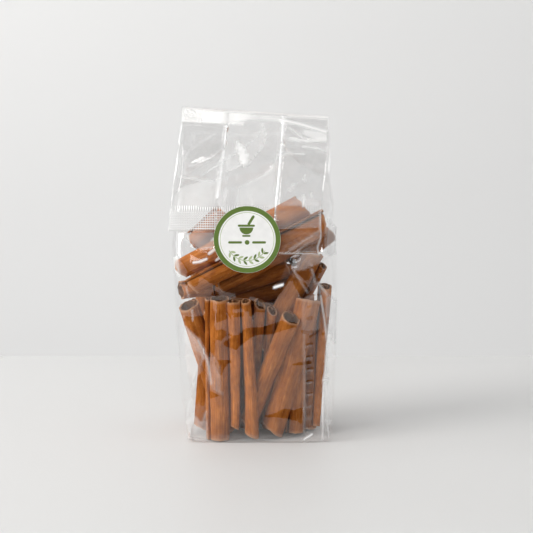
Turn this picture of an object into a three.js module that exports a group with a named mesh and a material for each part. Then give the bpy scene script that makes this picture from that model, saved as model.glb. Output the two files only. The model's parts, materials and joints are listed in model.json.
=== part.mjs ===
// A clear block-bottom bag filled with cinnamon sticks.
// The bag stands on its base, its neck narrows to a fold, and the sealed end hangs down in front.
// A round label holds that end against the front.
// Millimetres, +Z up, front faces -Y, base on Z = 0.

import * as THREE from 'three';

// Base and fold
const BASE_EDGE = 1.6; // rounding where the base turns into the walls
const BASE_SQUARE = 9; // how square the outline is at the base
const BODY_SQUARE = 4.5; // how square it is where the sticks fill it
const NECK_SQUARE = 22; // how square it is at the flattened neck
const FOLD_TOP = 185.6; // height of the fold in the middle of its length
const FOLD_RADIUS = 4.6; // outside radius of the rounded fold
const FOLD_Y = -8.1; // where the middle of the fold's loop stands
const NECK_SHEET = 3.0; // neck thickness where the fold begins
const FLAP_SHEET = 1.2; // thickness of the flattened flap
const FOLD_TILT = -0.074; // how the fold falls from left to right
const FLAP_END = 121; // height of the flap's lower edge
const FLAP_END_TILT = 0.02;

// Gusset folded into each side of the neck
const GUSSET_START = 142;
const GUSSET_FULL = 168;
const GUSSET_DEPTH = 22;
const GUSSET_LIP = 1.1; // film left in front of and behind the gusset's mouth

// Crimped seal along the flap's lower edge
const CRIMP_HEIGHT = 13;
const CRIMP_RELIEF = 0.25;

// Label
const LABEL_RADIUS = 18.5;
const LABEL_THICKNESS = 0.5;
const LABEL_X = -3.5;
const LABEL_Z = 116;
const LABEL_Y = -25.7; // back of the label at its middle
const LABEL_LEAN = 0.124; // how far its back moves to the rear for each unit of height
const LABEL_EDGE = 0.12;

const SAG = 1.0; // how far the film lies back between two sticks

// Mesh density
const FRONT_STEPS = 30;
const SIDE_STEPS = 10;
const BODY_ROWS = 42;
const CORNER_BUNCHING = 0.6; // how far the steps crowd towards the corners
const FOLD_ROWS = 10;
const FLAP_ROWS = 12;
const LABEL_STEPS = 72;

// Outline of the filled bag at a few heights: left and right sides, front and back.
const BODY = [
  { z: 0, left: -36.6, right: 42.6, front: -23.1, back: 24.3 },
  { z: 1.6, left: -37.9, right: 43.9, front: -24.6, back: 25.8 },
  { z: 20, left: -40.3, right: 45.7, front: -26.1, back: 27.3 },
  { z: 54, left: -43.8, right: 46.7, front: -27.0, back: 28.0 },
  { z: 82, left: -44.8, right: 47.0, front: -27.3, back: 27.8 },
  { z: 98, left: -45.6, right: 47.0, front: -26.7, back: 26.8 },
  { z: 110, left: -46.4, right: 46.6, front: -25.1, back: 25.0 },
  { z: 121, left: -45.2, right: 45.8, front: -22.5, back: 21.8 },
  { z: 135, left: -43.2, right: 44.4, front: -18.5, back: 16.2 },
  { z: 153, left: -40.6, right: 43.2, front: -13.5, back: 8.6 },
  { z: 170, left: -40.0, right: 42.4, front: -8.9, back: 0.8 },
  { z: 181, left: -39.8, right: 42.0, front: -6.5, back: -3.4 },
];

// The flap, from the fold down to its sealed edge; y is the middle of its thickness.
const FLAP = [
  { z: 181, left: -39.8, right: 42.0, y: -12.1 },
  { z: 160, left: -42.2, right: 40.4, y: -15.9 },
  { z: 140, left: -45.2, right: 38.4, y: -20.1 },
  { z: 121, left: -47.0, right: 36.8, y: -23.9 },
];

// Sticks that press ridges into the film, as seen from the front: two ends, half width and lift.
const FRONT_STICKS = [
  { from: [-24, 80], to: [-23, 4], half: 8, lift: 1.6 },
  { from: [-11, 80], to: [-4, 4], half: 6.5, lift: 1.6 },
  { from: [18, 72], to: [3, 26], half: 6, lift: 1.4 },
  { from: [33, 80], to: [7, 6], half: 8.5, lift: 1.8 },
  { from: [-39, 76], to: [-30, 30], half: 6, lift: 1.2 },
  { from: [40, 86], to: [36, 10], half: 6.5, lift: 1.2 },
  { from: [-41, 100], to: [-14, 112], half: 7, lift: 1.6 },
  { from: [-36, 88], to: [-6, 101], half: 6, lift: 1.4 },
  { from: [2, 92], to: [30, 106], half: 8, lift: 0.8 },
  { from: [8, 112], to: [40, 124], half: 8, lift: 1.4 },
];

const BACK_STICKS = [
  { from: [-34, 80], to: [-30, 6], half: 7, lift: 1.4 },
  { from: [-14, 78], to: [-17, 5], half: 7, lift: 1.4 },
  { from: [4, 80], to: [8, 6], half: 7, lift: 1.4 },
  { from: [26, 78], to: [20, 6], half: 7, lift: 1.4 },
  { from: [38, 84], to: [36, 8], half: 7, lift: 1.2 },
  { from: [-38, 108], to: [34, 92], half: 7, lift: 1.4 },
];

// A smooth curve through the rows of a table, with no overshoot.
function trackThrough(rows, key, at) {
  const ascending = rows[0].z < rows[rows.length - 1].z;
  const list = ascending ? rows : rows.slice().reverse();
  let i = 0;
  while (i < list.length - 2 && at > list[i + 1].z) {
    i += 1;
  }
  const slopeOf = (k) => {
    if (k <= 0 || k >= list.length - 1) {
      return null;
    }
    const before = (list[k][key] - list[k - 1][key]) / (list[k].z - list[k - 1].z);
    const after = (list[k + 1][key] - list[k][key]) / (list[k + 1].z - list[k].z);
    return before * after <= 0 ? 0 : (2 * before * after) / (before + after);
  };
  const span = list[i + 1].z - list[i].z;
  const t = THREE.MathUtils.clamp((at - list[i].z) / span, 0, 1);
  const straight = (list[i + 1][key] - list[i][key]) / span;
  const m0 = (slopeOf(i) ?? straight) * span;
  const m1 = (slopeOf(i + 1) ?? straight) * span;
  const t2 = t * t;
  const t3 = t2 * t;
  const start = (2 * t3 - 3 * t2 + 1) * list[i][key] + (t3 - 2 * t2 + t) * m0;
  return start + (3 * t2 - 2 * t3) * list[i + 1][key] + (t3 - t2) * m1;
}

// How far the film stands out over the sticks at a point of the front or back.
function ridgeAt(sticks, x, z) {
  let out = 0;
  for (const stick of sticks) {
    const [x0, z0] = stick.from;
    const [x1, z1] = stick.to;
    const dx = x1 - x0;
    const dz = z1 - z0;
    const along = ((x - x0) * dx + (z - z0) * dz) / (dx * dx + dz * dz);
    const t = THREE.MathUtils.clamp(along, 0, 1);
    const away = Math.hypot(x - x0 - t * dx, z - z0 - t * dz) / stick.half;
    out = Math.max(out, stick.lift * Math.exp(-away * away * 1.4));
  }
  return out;
}

// Points of one closed section, counter-clockwise about the direction of travel.
// side is across the bag and rise is towards the back of the travelling sheet.
function sectionLoop(ring) {
  const points = [];
  const corner = Math.pow(0.5, 1 / ring.square);
  const bow = (v) => Math.pow(1 - Math.pow(Math.abs(v), ring.square), 1 / ring.square);
  const addSpan = (steps, place) => {
    for (let i = 0; i < steps; i += 1) {
      const even = (2 * i) / steps - 1;
      const bunched = Math.sin((Math.PI / 2) * even);
      const v = corner * THREE.MathUtils.lerp(even, bunched, CORNER_BUNCHING);
      points.push(place(v, bow(v)));
    }
  };
  addSpan(SIDE_STEPS, (v, b) => ({ side: b, rise: v, flank: 1 }));
  addSpan(FRONT_STEPS, (v, b) => ({ side: -v, rise: b, flank: 0 }));
  addSpan(SIDE_STEPS, (v, b) => ({ side: -b, rise: -v, flank: 1 }));
  addSpan(FRONT_STEPS, (v, b) => ({ side: v, rise: -b, flank: 0 }));
  return points;
}

function placeRing(ring) {
  const middle = (ring.left + ring.right) / 2;
  const half = (ring.right - ring.left) / 2;
  const mouth = Math.max(ring.depth - GUSSET_LIP, 0.1);
  return sectionLoop(ring).map((p) => {
    const rise = p.rise * ring.depth;
    const inset = p.flank * ring.gusset * Math.max(0, 1 - Math.abs(rise) / mouth);
    const x = middle + p.side * half - Math.sign(p.side) * inset;
    let y = ring.y + Math.cos(ring.turn) * rise;
    const z = ring.z + Math.sin(ring.turn) * rise + ring.tilt * x;
    if (ring.ridged) {
      const sticks = p.rise < 0 ? FRONT_STICKS : BACK_STICKS;
      const facing = Math.sign(p.rise) * Math.abs(p.rise) ** 3;
      y += facing * (ridgeAt(sticks, x, z) - SAG);
    }
    return new THREE.Vector3(x, y, z);
  });
}

function bodyRings() {
  const rings = [];
  const top = FOLD_TOP - FOLD_RADIUS;
  for (let i = 0; i <= BODY_ROWS; i += 1) {
    const z = i === 0 ? 0 : BASE_EDGE + ((top - BASE_EDGE) * (i - 1)) / (BODY_ROWS - 1);
    const front = trackThrough(BODY, 'front', z);
    const back = trackThrough(BODY, 'back', z);
    const filled = THREE.MathUtils.smoothstep(z, 4, 50);
    const narrowed = THREE.MathUtils.smoothstep(z, 118, 150);
    const square = THREE.MathUtils.lerp(BASE_SQUARE, BODY_SQUARE, filled);
    const gusset = GUSSET_DEPTH * THREE.MathUtils.smoothstep(z, GUSSET_START, GUSSET_FULL);
    rings.push({
      z,
      y: (front + back) / 2,
      depth: (back - front) / 2,
      left: trackThrough(BODY, 'left', z),
      right: trackThrough(BODY, 'right', z),
      square: THREE.MathUtils.lerp(square, NECK_SQUARE, narrowed),
      gusset: gusset * (1 - THREE.MathUtils.smoothstep(z, 172, top)),
      tilt: FOLD_TILT * THREE.MathUtils.smoothstep(z, 125, top),
      turn: 0,
      ridged: z > BASE_EDGE && z < 130,
    });
  }
  return rings;
}

function foldRings() {
  const rings = [];
  for (let i = 1; i < FOLD_ROWS; i += 1) {
    const share = i / FOLD_ROWS;
    const turn = Math.PI * share;
    const sheet = THREE.MathUtils.lerp(NECK_SHEET, FLAP_SHEET, share);
    const reach = FOLD_RADIUS - sheet / 2;
    rings.push({
      z: FOLD_TOP - FOLD_RADIUS + reach * Math.sin(turn),
      y: FOLD_Y + reach * Math.cos(turn),
      depth: sheet / 2,
      left: FLAP[0].left,
      right: FLAP[0].right,
      square: NECK_SQUARE,
      gusset: 0,
      tilt: FOLD_TILT,
      turn,
      ridged: false,
    });
  }
  return rings;
}

function flapRings() {
  const rings = [];
  const top = FOLD_TOP - FOLD_RADIUS;
  for (let i = 0; i <= FLAP_ROWS; i += 1) {
    const share = i / FLAP_ROWS;
    const z = THREE.MathUtils.lerp(top, FLAP_END, share);
    const sealed = z < FLAP_END + CRIMP_HEIGHT ? CRIMP_RELIEF : 0;
    rings.push({
      z,
      y: trackThrough(FLAP, 'y', z),
      depth: (FLAP_SHEET - sealed) / 2,
      left: trackThrough(FLAP, 'left', z),
      right: trackThrough(FLAP, 'right', z),
      square: NECK_SQUARE,
      gusset: 0,
      tilt: THREE.MathUtils.lerp(FOLD_TILT, FLAP_END_TILT, share),
      turn: Math.PI,
      ridged: false,
    });
  }
  return rings;
}

// One closed skin through a run of rings, with a flat fan over each end.
function skinOver(rings) {
  const loops = rings.map(placeRing);
  const count = loops[0].length;
  const positions = [];
  const indices = [];
  for (const loop of loops) {
    for (const p of loop) {
      positions.push(p.x, p.y, p.z);
    }
  }
  for (let r = 0; r < loops.length - 1; r += 1) {
    for (let c = 0; c < count; c += 1) {
      const a = r * count + c;
      const b = r * count + ((c + 1) % count);
      indices.push(a, b, b + count, a, b + count, a + count);
    }
  }
  const addEnd = (loop, first, outward) => {
    const hub = new THREE.Vector3();
    loop.forEach((p) => hub.addScaledVector(p, 1 / count));
    const middle = positions.length / 3;
    positions.push(hub.x, hub.y, hub.z);
    for (let c = 0; c < count; c += 1) {
      const a = first + c;
      const b = first + ((c + 1) % count);
      indices.push(middle, outward ? a : b, outward ? b : a);
    }
  };
  addEnd(loops[0], 0, false);
  addEnd(loops[loops.length - 1], (loops.length - 1) * count, true);
  const geometry = new THREE.BufferGeometry();
  geometry.setAttribute('position', new THREE.Float32BufferAttribute(positions, 3));
  geometry.setIndex(indices);
  geometry.computeVertexNormals();
  return geometry;
}

function labelDisc() {
  const rim = [
    new THREE.Vector2(0, 0),
    new THREE.Vector2(LABEL_RADIUS, 0),
    new THREE.Vector2(LABEL_RADIUS, LABEL_THICKNESS - LABEL_EDGE),
    new THREE.Vector2(LABEL_RADIUS - LABEL_EDGE, LABEL_THICKNESS),
    new THREE.Vector2(0, LABEL_THICKNESS),
  ];
  const disc = new THREE.LatheGeometry(rim, LABEL_STEPS);
  disc.rotateX(Math.PI - Math.atan(LABEL_LEAN));
  disc.translate(LABEL_X, LABEL_Y, LABEL_Z);
  return disc;
}

const film = new THREE.MeshStandardMaterial({
  name: 'clear_film',
  color: 0xb98a66,
  roughness: 0.15,
});
const sticker = new THREE.MeshStandardMaterial({
  name: 'label_paper',
  color: 0xf0f0ee,
  roughness: 0.5,
});

const bag = new THREE.Mesh(skinOver([...bodyRings(), ...foldRings(), ...flapRings()]), film);
bag.name = 'bag';
const label = new THREE.Mesh(labelDisc(), sticker);
label.name = 'label';

const part = new THREE.Group();
part.name = 'cinnamon_stick_bag';
part.add(bag, label);

export default part;
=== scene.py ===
# %% [markdown]
# # A clear bag of cinnamon sticks
#
# This lesson dresses a imported CAD model. The solid bag of the model is replaced by what a person
# sees: a thin glossy film, folded and creased, with curled bark sticks standing and lying in it.
# The round label is replaced by a printed paper disc.
#
# The steps are: load the frame, set the camera, light the studio, roll the sticks from sheets of
# bark, stretch the film over them and print the label.

import json
import math
import random

import bmesh
import bpy
import numpy as np
from mathutils import Matrix, Vector, geometry, noise

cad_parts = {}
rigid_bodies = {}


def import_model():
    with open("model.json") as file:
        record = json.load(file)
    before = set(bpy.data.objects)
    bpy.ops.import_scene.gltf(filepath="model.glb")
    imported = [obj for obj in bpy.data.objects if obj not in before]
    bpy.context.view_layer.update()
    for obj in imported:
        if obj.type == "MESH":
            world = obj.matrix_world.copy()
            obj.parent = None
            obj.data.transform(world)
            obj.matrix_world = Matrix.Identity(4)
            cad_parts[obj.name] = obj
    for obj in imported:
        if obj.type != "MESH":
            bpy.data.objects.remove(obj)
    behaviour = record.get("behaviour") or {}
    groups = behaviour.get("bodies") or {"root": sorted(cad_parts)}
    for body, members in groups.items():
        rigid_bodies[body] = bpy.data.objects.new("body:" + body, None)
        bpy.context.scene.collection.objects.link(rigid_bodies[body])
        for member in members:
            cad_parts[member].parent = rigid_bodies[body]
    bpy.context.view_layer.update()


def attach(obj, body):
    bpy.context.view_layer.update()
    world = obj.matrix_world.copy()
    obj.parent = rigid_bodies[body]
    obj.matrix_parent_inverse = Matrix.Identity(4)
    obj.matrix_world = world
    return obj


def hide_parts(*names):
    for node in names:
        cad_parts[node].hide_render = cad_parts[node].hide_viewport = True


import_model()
MM = 0.001


def add_object(name, data):
    """A new object in the scene."""
    thing = bpy.data.objects.new(name, data)
    bpy.context.collection.objects.link(thing)
    return thing


# %% [markdown]
# ## Camera
#
# The bag is seen from straight in front and a little above, from about arm's length with a long
# lens. The long lens keeps the upright sticks parallel. An object this small could also be shot
# from close by with a wide lens, but its front would then swell.

# %% Camera
AIM = Vector((7.2, -26.0, 101.0)) * MM
DISTANCE = 0.8
LOOKING_DOWN = math.radians(8.5)
FOCAL_PIXELS = 1448
FRAME_PIXELS = 533
SENSOR_MM = 36

lens = bpy.data.cameras.new("camera")
camera = add_object("camera", lens)
step_back = Vector((0, -math.cos(LOOKING_DOWN), math.sin(LOOKING_DOWN)))
camera.location = AIM + DISTANCE * step_back
camera.rotation_euler = (math.pi / 2 - LOOKING_DOWN, 0, 0)
lens.sensor_width = SENSOR_MM
lens.lens = SENSOR_MM * FOCAL_PIXELS / FRAME_PIXELS
lens.clip_start = 0.01
lens.clip_end = 20
bpy.context.scene.camera = camera
print("camera at", [round(v, 3) for v in camera.location], "lens", round(lens.lens, 1))

# %% [markdown]
# ## Helpers for materials
#
# Every finish below is a small net of shader nodes. These helpers add a node, set its inputs and
# join it to others, so that each finish reads as a list of what it does.


# %% Material helpers
def new_material(name):
    """An empty node material and its node tree."""
    material = bpy.data.materials.new(name)
    material.use_nodes = True
    material.node_tree.nodes.clear()
    return material, material.node_tree


def add_node(tree, kind, inputs=None, **settings):
    """A node with its settings and input values; a socket as a value is joined to it."""
    node = tree.nodes.new("ShaderNode" + kind)
    for key, value in settings.items():
        setattr(node, key, value)
    for key, value in (inputs or {}).items():
        if isinstance(value, bpy.types.NodeSocket):
            tree.links.new(value, node.inputs[key])
        else:
            node.inputs[key].default_value = value
    return node


def maths(tree, operation, a, b=0.0, clamp=False):
    """One Math node's result."""
    node = add_node(tree, "Math", {0: a, 1: b}, operation=operation, use_clamp=clamp)
    return node.outputs[0]


def ramp(tree, factor, stops):
    """A colour ramp with its stops given as (place, colour)."""
    node = add_node(tree, "ValToRGB", {0: factor})
    elements = node.color_ramp.elements
    while len(elements) < len(stops):
        elements.new(0.5)
    for element, (place, colour) in zip(elements, stops):
        element.position = place
        element.color = (*colour, 1)
    return node.outputs[0]


def spread(tree, value, low, high, to_low=0.0, to_high=1.0):
    """A value's range stretched smoothly onto another."""
    inputs = {0: value, 1: low, 2: high, 3: to_low, 4: to_high}
    return add_node(tree, "MapRange", inputs, interpolation_type="SMOOTHSTEP").outputs[0]


def attribute(tree, name):
    """A value kept on the mesh."""
    return add_node(tree, "Attribute", attribute_name=name).outputs["Fac"]


def noise_over(tree, place, scale, detail):
    """Soft noise over places; detail is how many finer layers it has."""
    inputs = {"Vector": place, "Scale": scale, "Detail": detail}
    return add_node(tree, "TexNoise", inputs).outputs["Fac"]


def mixed(tree, share, a, b, blend="MIX"):
    """Two colours mixed by a share."""
    inputs = {0: share, 6: a, 7: b}
    return add_node(tree, "Mix", inputs, data_type="RGBA", blend_type=blend).outputs[2]


def object_place(tree):
    """Where a point lies on its object, in metres."""
    return add_node(tree, "TexCoord").outputs["Object"]


def finish_material(tree, shader):
    """Joins the last shader to the surface."""
    output = tree.nodes.new("ShaderNodeOutputMaterial")
    tree.links.new(shader, output.inputs[0])


# %% [markdown]
# ## Studio
#
# A white table stands in front of a pale wall. The lamps are soft panels: a large one like a window
# on the left, a broad one above, a small one high in front, a wide dim one in front and a weak one
# on the right, and three that wash the wall. Clear film shows little but what it mirrors, so the
# surroundings matter twice: they light the sticks, and they lie on the film as haze. The wide dim
# panel would lie on all of the front, so the film doesn't mirror it.
#
# The upright front of the bag mirrors the table up to its front edge, and above that the dim room
# beyond. That is why its lower part looks milky and its upper part clear. In front of that edge the
# floor looks like the table, but is dark in mirror images.


# %% Table and wall
TABLE_FRONT = -0.5
TABLE_BACK = 0.21
TABLE_SIDE = 2.5
FLOOR_FRONT = -3.0
WALL_BACK = 1.3
WALL_SIDE = 3.0
WALL_FOOT = -1.0
WALL_TOP = 3.0
TABLE_WHITE = (0.64, 0.64, 0.64)
WALL_PALE = (0.84, 0.84, 0.84)


def unmirrored(tree, shader):
    """Keeps a surface out of mirror images, as if the film had the dim room there."""
    dim = add_node(tree, "BsdfDiffuse", {"Color": (0.02, 0.02, 0.02, 1)}).outputs[0]
    mirroring = add_node(tree, "LightPath").outputs["Is Glossy Ray"]
    return add_node(tree, "MixShader", {0: mirroring, 1: shader, 2: dim}).outputs[0]


def pale_finish(name, colour, roughness, mirrored=True):
    """A pale finish with a very slight unevenness."""
    material, tree = new_material(name)
    place = object_place(tree)
    cloud = noise_over(tree, place, 1.5, 3.0)
    tone = ramp(tree, cloud, [(0.3, [c * 0.985 for c in colour]), (0.7, colour)])
    grain = noise_over(tree, place, 900.0, 2.0)
    rough = spread(tree, grain, 0.3, 0.7, roughness - 0.04, roughness + 0.04)
    inputs = {"Base Color": tone, "Roughness": rough, "Specular IOR Level": 0.25}
    shader = add_node(tree, "BsdfPrincipled", inputs).outputs[0]
    finish_material(tree, shader if mirrored else unmirrored(tree, shader))
    return material


def stage_sheet(name, corners, material):
    """A flat sheet of the studio from its four corners, in metres."""
    bm = bmesh.new()
    bm.faces.new([bm.verts.new(c) for c in corners])
    mesh = bpy.data.meshes.new(name)
    bm.to_mesh(mesh)
    bm.free()
    mesh.materials.append(material)
    add_object(name, mesh)


def level_corners(front, back):
    """The corners of a level sheet between two depths."""
    side = TABLE_SIDE
    return [(-side, front, 0), (side, front, 0), (side, back, 0), (-side, back, 0)]


table_finish = pale_finish("table_white", TABLE_WHITE, 0.5)
floor_finish = pale_finish("floor_white", TABLE_WHITE, 0.5, mirrored=False)
wall_finish = pale_finish("wall_pale", WALL_PALE, 0.85)
wall_corners = [
    (-WALL_SIDE, WALL_BACK, WALL_FOOT),
    (WALL_SIDE, WALL_BACK, WALL_FOOT),
    (WALL_SIDE, WALL_BACK, WALL_TOP),
    (-WALL_SIDE, WALL_BACK, WALL_TOP),
]
stage_sheet("table", level_corners(TABLE_FRONT, TABLE_BACK), table_finish)
stage_sheet("floor", level_corners(FLOOR_FRONT, TABLE_FRONT), floor_finish)
stage_sheet("wall", wall_corners, wall_finish)
print("table from", TABLE_FRONT, "to", TABLE_BACK, "m, wall at", WALL_BACK, "m")


# %% Lamps
def soft_lamp(name, place, aim, size, strength, colour=(1, 1, 1)):
    """A rectangular soft lamp; strength is its surface brightness."""
    light = bpy.data.lights.new(name, "AREA")
    light.shape = "RECTANGLE"
    light.size, light.size_y = size
    light.energy = strength * size[0] * size[1] * math.pi
    light.color = colour
    lamp = add_object(name, light)
    lamp.location = place
    way = Vector(aim) - Vector(place)
    lamp.rotation_euler = way.to_track_quat("-Z", "Y").to_euler()
    return lamp


MIDDLE = (0, 0, 0.1)
soft_lamp("window", (-2.0, -0.95, 1.2), MIDDLE, (1.2, 1.4), 10.2, (1.0, 0.985, 0.96))
soft_lamp("overhead", (0.0, -0.2, 1.6), MIDDLE, (1.15, 0.6), 2.8, (1.0, 0.98, 0.93))
soft_lamp("high_front", (-0.44, -1.53, 0.94), MIDDLE, (0.3, 0.36), 3.0)
panel = soft_lamp("front_panel", (-0.3, -2.0, 1.15), MIDDLE, (2.2, 1.3), 1.0)
panel.visible_glossy = False
soft_lamp("fill_right", (1.6, -0.5, 0.9), MIDDLE, (0.8, 1.0), 0.5)
soft_lamp("wall_wash_left", (-1.6, 0.2, 0.7), (0.3, WALL_BACK, 0.0), (0.6, 1.8), 2.2)
soft_lamp("wall_wash_top", (0.1, 0.4, 1.6), (0.1, WALL_BACK, 0.2), (1.8, 0.4), 1.25)
soft_lamp("wall_wash_low", (0.5, 0.45, -0.25), (0.4, WALL_BACK, -0.1), (2.4, 0.3), 1.5)


# %% The room around
def room_light(strength):
    """Even pale light, with a dim band round the horizon on the side of the viewer."""
    world = bpy.data.worlds.new("room")
    world.use_nodes = True
    tree = world.node_tree
    background = tree.nodes["Background"]
    way = add_node(tree, "SeparateXYZ", {0: add_node(tree, "TexCoord").outputs["Generated"]})
    above = spread(tree, way.outputs[2], 0.10, 0.22)
    behind = spread(tree, way.outputs[1], -0.55, 0.1)
    lit = maths(tree, "MAXIMUM", above, behind)
    colour = ramp(tree, lit, [(0.0, (0.02, 0.02, 0.02)), (1.0, (0.97, 0.985, 1.0))])
    tree.links.new(colour, background.inputs["Color"])
    background.inputs["Strength"].default_value = strength
    return world


scene = bpy.context.scene
scene.world = room_light(0.29)
scene.view_settings.view_transform = "Standard"
scene.cycles.transparent_max_bounces = 32
scene.cycles.use_denoising = True
print("world:", scene.world.name)

# %% [markdown]
# ## Cinnamon bark
#
# Cassia bark is dry, matt and warm brown. Fine grain runs along the stick, with paler and darker
# streaks, a few dark specks, and some short wrinkles across it. The cut rims are paler. The inner
# faces of a curl are darker, partly as inner bark is and partly as painted shade in the hollow.
# Two values kept on every vertex steer the pattern: how far round the curl it lies, and how far
# along the stick. A pattern on plain object coordinates would not follow a stick that leans.


# %% Bark grain as a node group
def bark_grain_group():
    """Streaks, specks and wrinkles that follow the stick, as masks and a height."""
    tree = bpy.data.node_groups.new("bark_grain", "ShaderNodeTree")
    for name in ("Around", "Along", "Seed"):
        tree.interface.new_socket(name, in_out="INPUT", socket_type="NodeSocketFloat")
    for name in ("Streaks", "Patches", "Specks", "Height"):
        tree.interface.new_socket(name, in_out="OUTPUT", socket_type="NodeSocketFloat")
    given = tree.nodes.new("NodeGroupInput")
    taken = tree.nodes.new("NodeGroupOutput")
    around, along, seed = [given.outputs[i] for i in range(3)]

    def pattern(across, lengthwise, detail, offset):
        """Noise that is finer the larger its numbers across and lengthwise are."""
        x = maths(tree, "MULTIPLY", around, across)
        y = maths(tree, "MULTIPLY", along, lengthwise)
        z = maths(tree, "ADD", maths(tree, "MULTIPLY", seed, 7.3), offset)
        where = add_node(tree, "CombineXYZ", {0: x, 1: y, 2: z}).outputs[0]
        return noise_over(tree, where, 1.0, detail)

    fine = pattern(1.15, 0.05, 4.0, 0.0)
    mottled = pattern(0.8, 0.3, 4.0, 3.0)
    patches = pattern(0.16, 0.09, 3.0, 9.0)
    wrinkles = pattern(0.22, 0.95, 2.0, 14.0)
    dots = pattern(1.5, 0.8, 2.0, 21.0)
    mottling = maths(tree, "MULTIPLY", mottled, 0.4)
    streaks = maths(tree, "ADD", maths(tree, "MULTIPLY", fine, 0.6), mottling)
    specks = spread(tree, dots, 0.66, 0.74)
    cross = maths(tree, "MULTIPLY", spread(tree, wrinkles, 0.55, 0.7), -0.35)
    relief = maths(tree, "ADD", maths(tree, "MULTIPLY", fine, 0.8), cross)
    for i, result in enumerate((streaks, patches, specks, relief)):
        tree.links.new(result, taken.inputs[i])
    return tree


bark_grain = bark_grain_group()
print("node group:", bark_grain.name, "with", len(bark_grain.nodes), "nodes")


# %% Bark finish
SPECK_BROWN = (0.07, 0.025, 0.01, 1)
CUT_BROWN = (0.56, 0.32, 0.18, 1)
# The inner faces of a curl: partly the darker inner bark, partly painted shade in the hollow.
INNER_BARK_AND_SHADE_BROWN = (0.09, 0.035, 0.012, 1)


def bark_finish():
    """Dry cinnamon bark."""
    material, tree = new_material("cinnamon_bark")
    around, along, seed = [attribute(tree, name) for name in ("around", "along", "seed")]
    rim, inside, tone = [attribute(tree, name) for name in ("rim", "inside", "tone")]
    grain = add_node(tree, "Group", {0: around, 1: along, 2: seed}, node_tree=bark_grain)
    streaks, patches, specks, height = [grain.outputs[i] for i in range(4)]
    base = ramp(
        tree,
        streaks,
        [
            (0.34, (0.27, 0.078, 0.010)),
            (0.46, (0.36, 0.113, 0.017)),
            (0.56, (0.43, 0.145, 0.025)),
            (0.68, (0.53, 0.205, 0.050)),
        ],
    )
    tint = ramp(tree, patches, [(0.35, (0.72, 0.66, 0.60)), (0.65, (1.06, 1.05, 1.05))])
    # The value is scaled by the stick's tone: partly its own paleness, partly painted light and shade.
    own = add_node(tree, "HueSaturation", {"Color": base, "Value": tone}).outputs[0]
    toned = mixed(tree, 1.0, own, tint, blend="MULTIPLY")
    dark = mixed(tree, maths(tree, "MULTIPLY", specks, 0.55), toned, SPECK_BROWN)
    pale = mixed(tree, maths(tree, "MULTIPLY", rim, 0.7), dark, CUT_BROWN)
    # Inner faces are darkened: partly inner bark, partly painted shade in the hollow of the curl.
    colour = mixed(tree, maths(tree, "MULTIPLY", inside, 0.8), pale, INNER_BARK_AND_SHADE_BROWN)
    bump = add_node(tree, "Bump", {"Height": height, "Strength": 0.6, "Distance": 0.0004})
    inputs = {
        "Base Color": colour,
        "Roughness": spread(tree, streaks, 0.3, 0.75, 0.62, 0.82),
        "Normal": bump.outputs[0],
        "Specular IOR Level": 0.08,
    }
    body = add_node(tree, "BsdfPrincipled", inputs)
    finish_material(tree, body.outputs[0])
    return material


bark = bark_finish()
print("finish:", bark.name)

# %% [markdown]
# ## Sticks
#
# A stick is a strip of bark that curled up as it dried, from one edge or from both. So each one is
# made the way it grew: a curled line is drawn across, pulled out along the stick, roughened, and
# then given the thickness of bark. A plain tube would lack the free edge that runs down the stick
# and the spiral at its ends.


# %% Curled cross-sections
STEPS_PER_TURN = 20
BARK = 1.15
COIL_GAP = 0.45


def curl(radius, start, turns, clockwise):
    """Points of a spiral that winds inwards from the angle start, in degrees."""
    count = int(STEPS_PER_TURN * turns)
    pitch = BARK + COIL_GAP
    points = []
    for i in range(count + 1):
        wound = turns * i / count
        angle = math.radians(start + (-360 if clockwise else 360) * wound)
        reach = radius + pitch * (0.4 - wound)
        points.append((reach * math.cos(angle), reach * math.sin(angle)))
    return points


print("points in a curl of one and a half turns:", len(curl(5, 0, 1.5, True)))


# %% The sheet of one stick
RINGS = 44
MARKS = ("around", "along", "seed", "rim", "inside", "tone")


def rod_frame(foot, head, roll):
    """A turning matrix that stands a stick's own axes between its ends."""
    axis = (head - foot).normalized()
    back = Vector((0, 1, 0)) - axis * axis.y
    back.normalize()
    side = back.cross(axis)
    stand = Matrix((side, back, axis)).transposed().to_4x4()
    return stand @ Matrix.Rotation(math.radians(roll), 4, "Z")


def cross_section(curls, turns, opening):
    """The curled line of a stick at its foot, as (x, y, number of its curl)."""
    radii = [foot_radius for _, _, foot_radius, _ in curls]
    if len(radii) == 1:
        return [(x, y, 0) for x, y in curl(radii[0], opening, turns, True)]
    first = curl(radii[0], 90, turns, False)[::-1]
    second = curl(radii[1], 90, turns, True)
    return [(x, y, 0) for x, y in first] + [(x, y, 1) for x, y in second]


def curled_sheet(curls, turns, opening, length):
    """The curled line pulled out to a sheet, and the values kept on its points, by name."""
    bm = bmesh.new()
    marks = {name: bm.verts.layers.float.new(name) for name in MARKS}
    marks["curl"] = bm.verts.layers.int.new("curl")
    travelled = 0.0
    last = None
    for x, y, own in cross_section(curls, turns, opening):
        vert = bm.verts.new((x, y, 0))
        vert[marks["curl"]] = own
        if last is not None:
            travelled += (vert.co - last.co).length
            bm.edges.new((last, vert))
        vert[marks["around"]] = travelled
        last = vert
    line = bm.verts[:] + bm.edges[:]
    pull = (0, 0, length / RINGS)
    bmesh.ops.spin(
        bm, geom=line, cent=(0, 0, 0), axis=(0, 0, 1), dvec=pull, angle=0, steps=RINGS
    )
    bmesh.ops.remove_doubles(bm, verts=bm.verts[:], dist=0.0001)
    # the sheet has to face outwards, and which of its faces comes first isn't sure
    if sum(f.normal.dot(f.calc_center_median()) for f in bm.faces) < 0:
        bmesh.ops.reverse_faces(bm, faces=bm.faces[:])
    return bm, marks


# %% Bent, rough and frayed
END_ZONE = 9
BEND = 0.5


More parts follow.
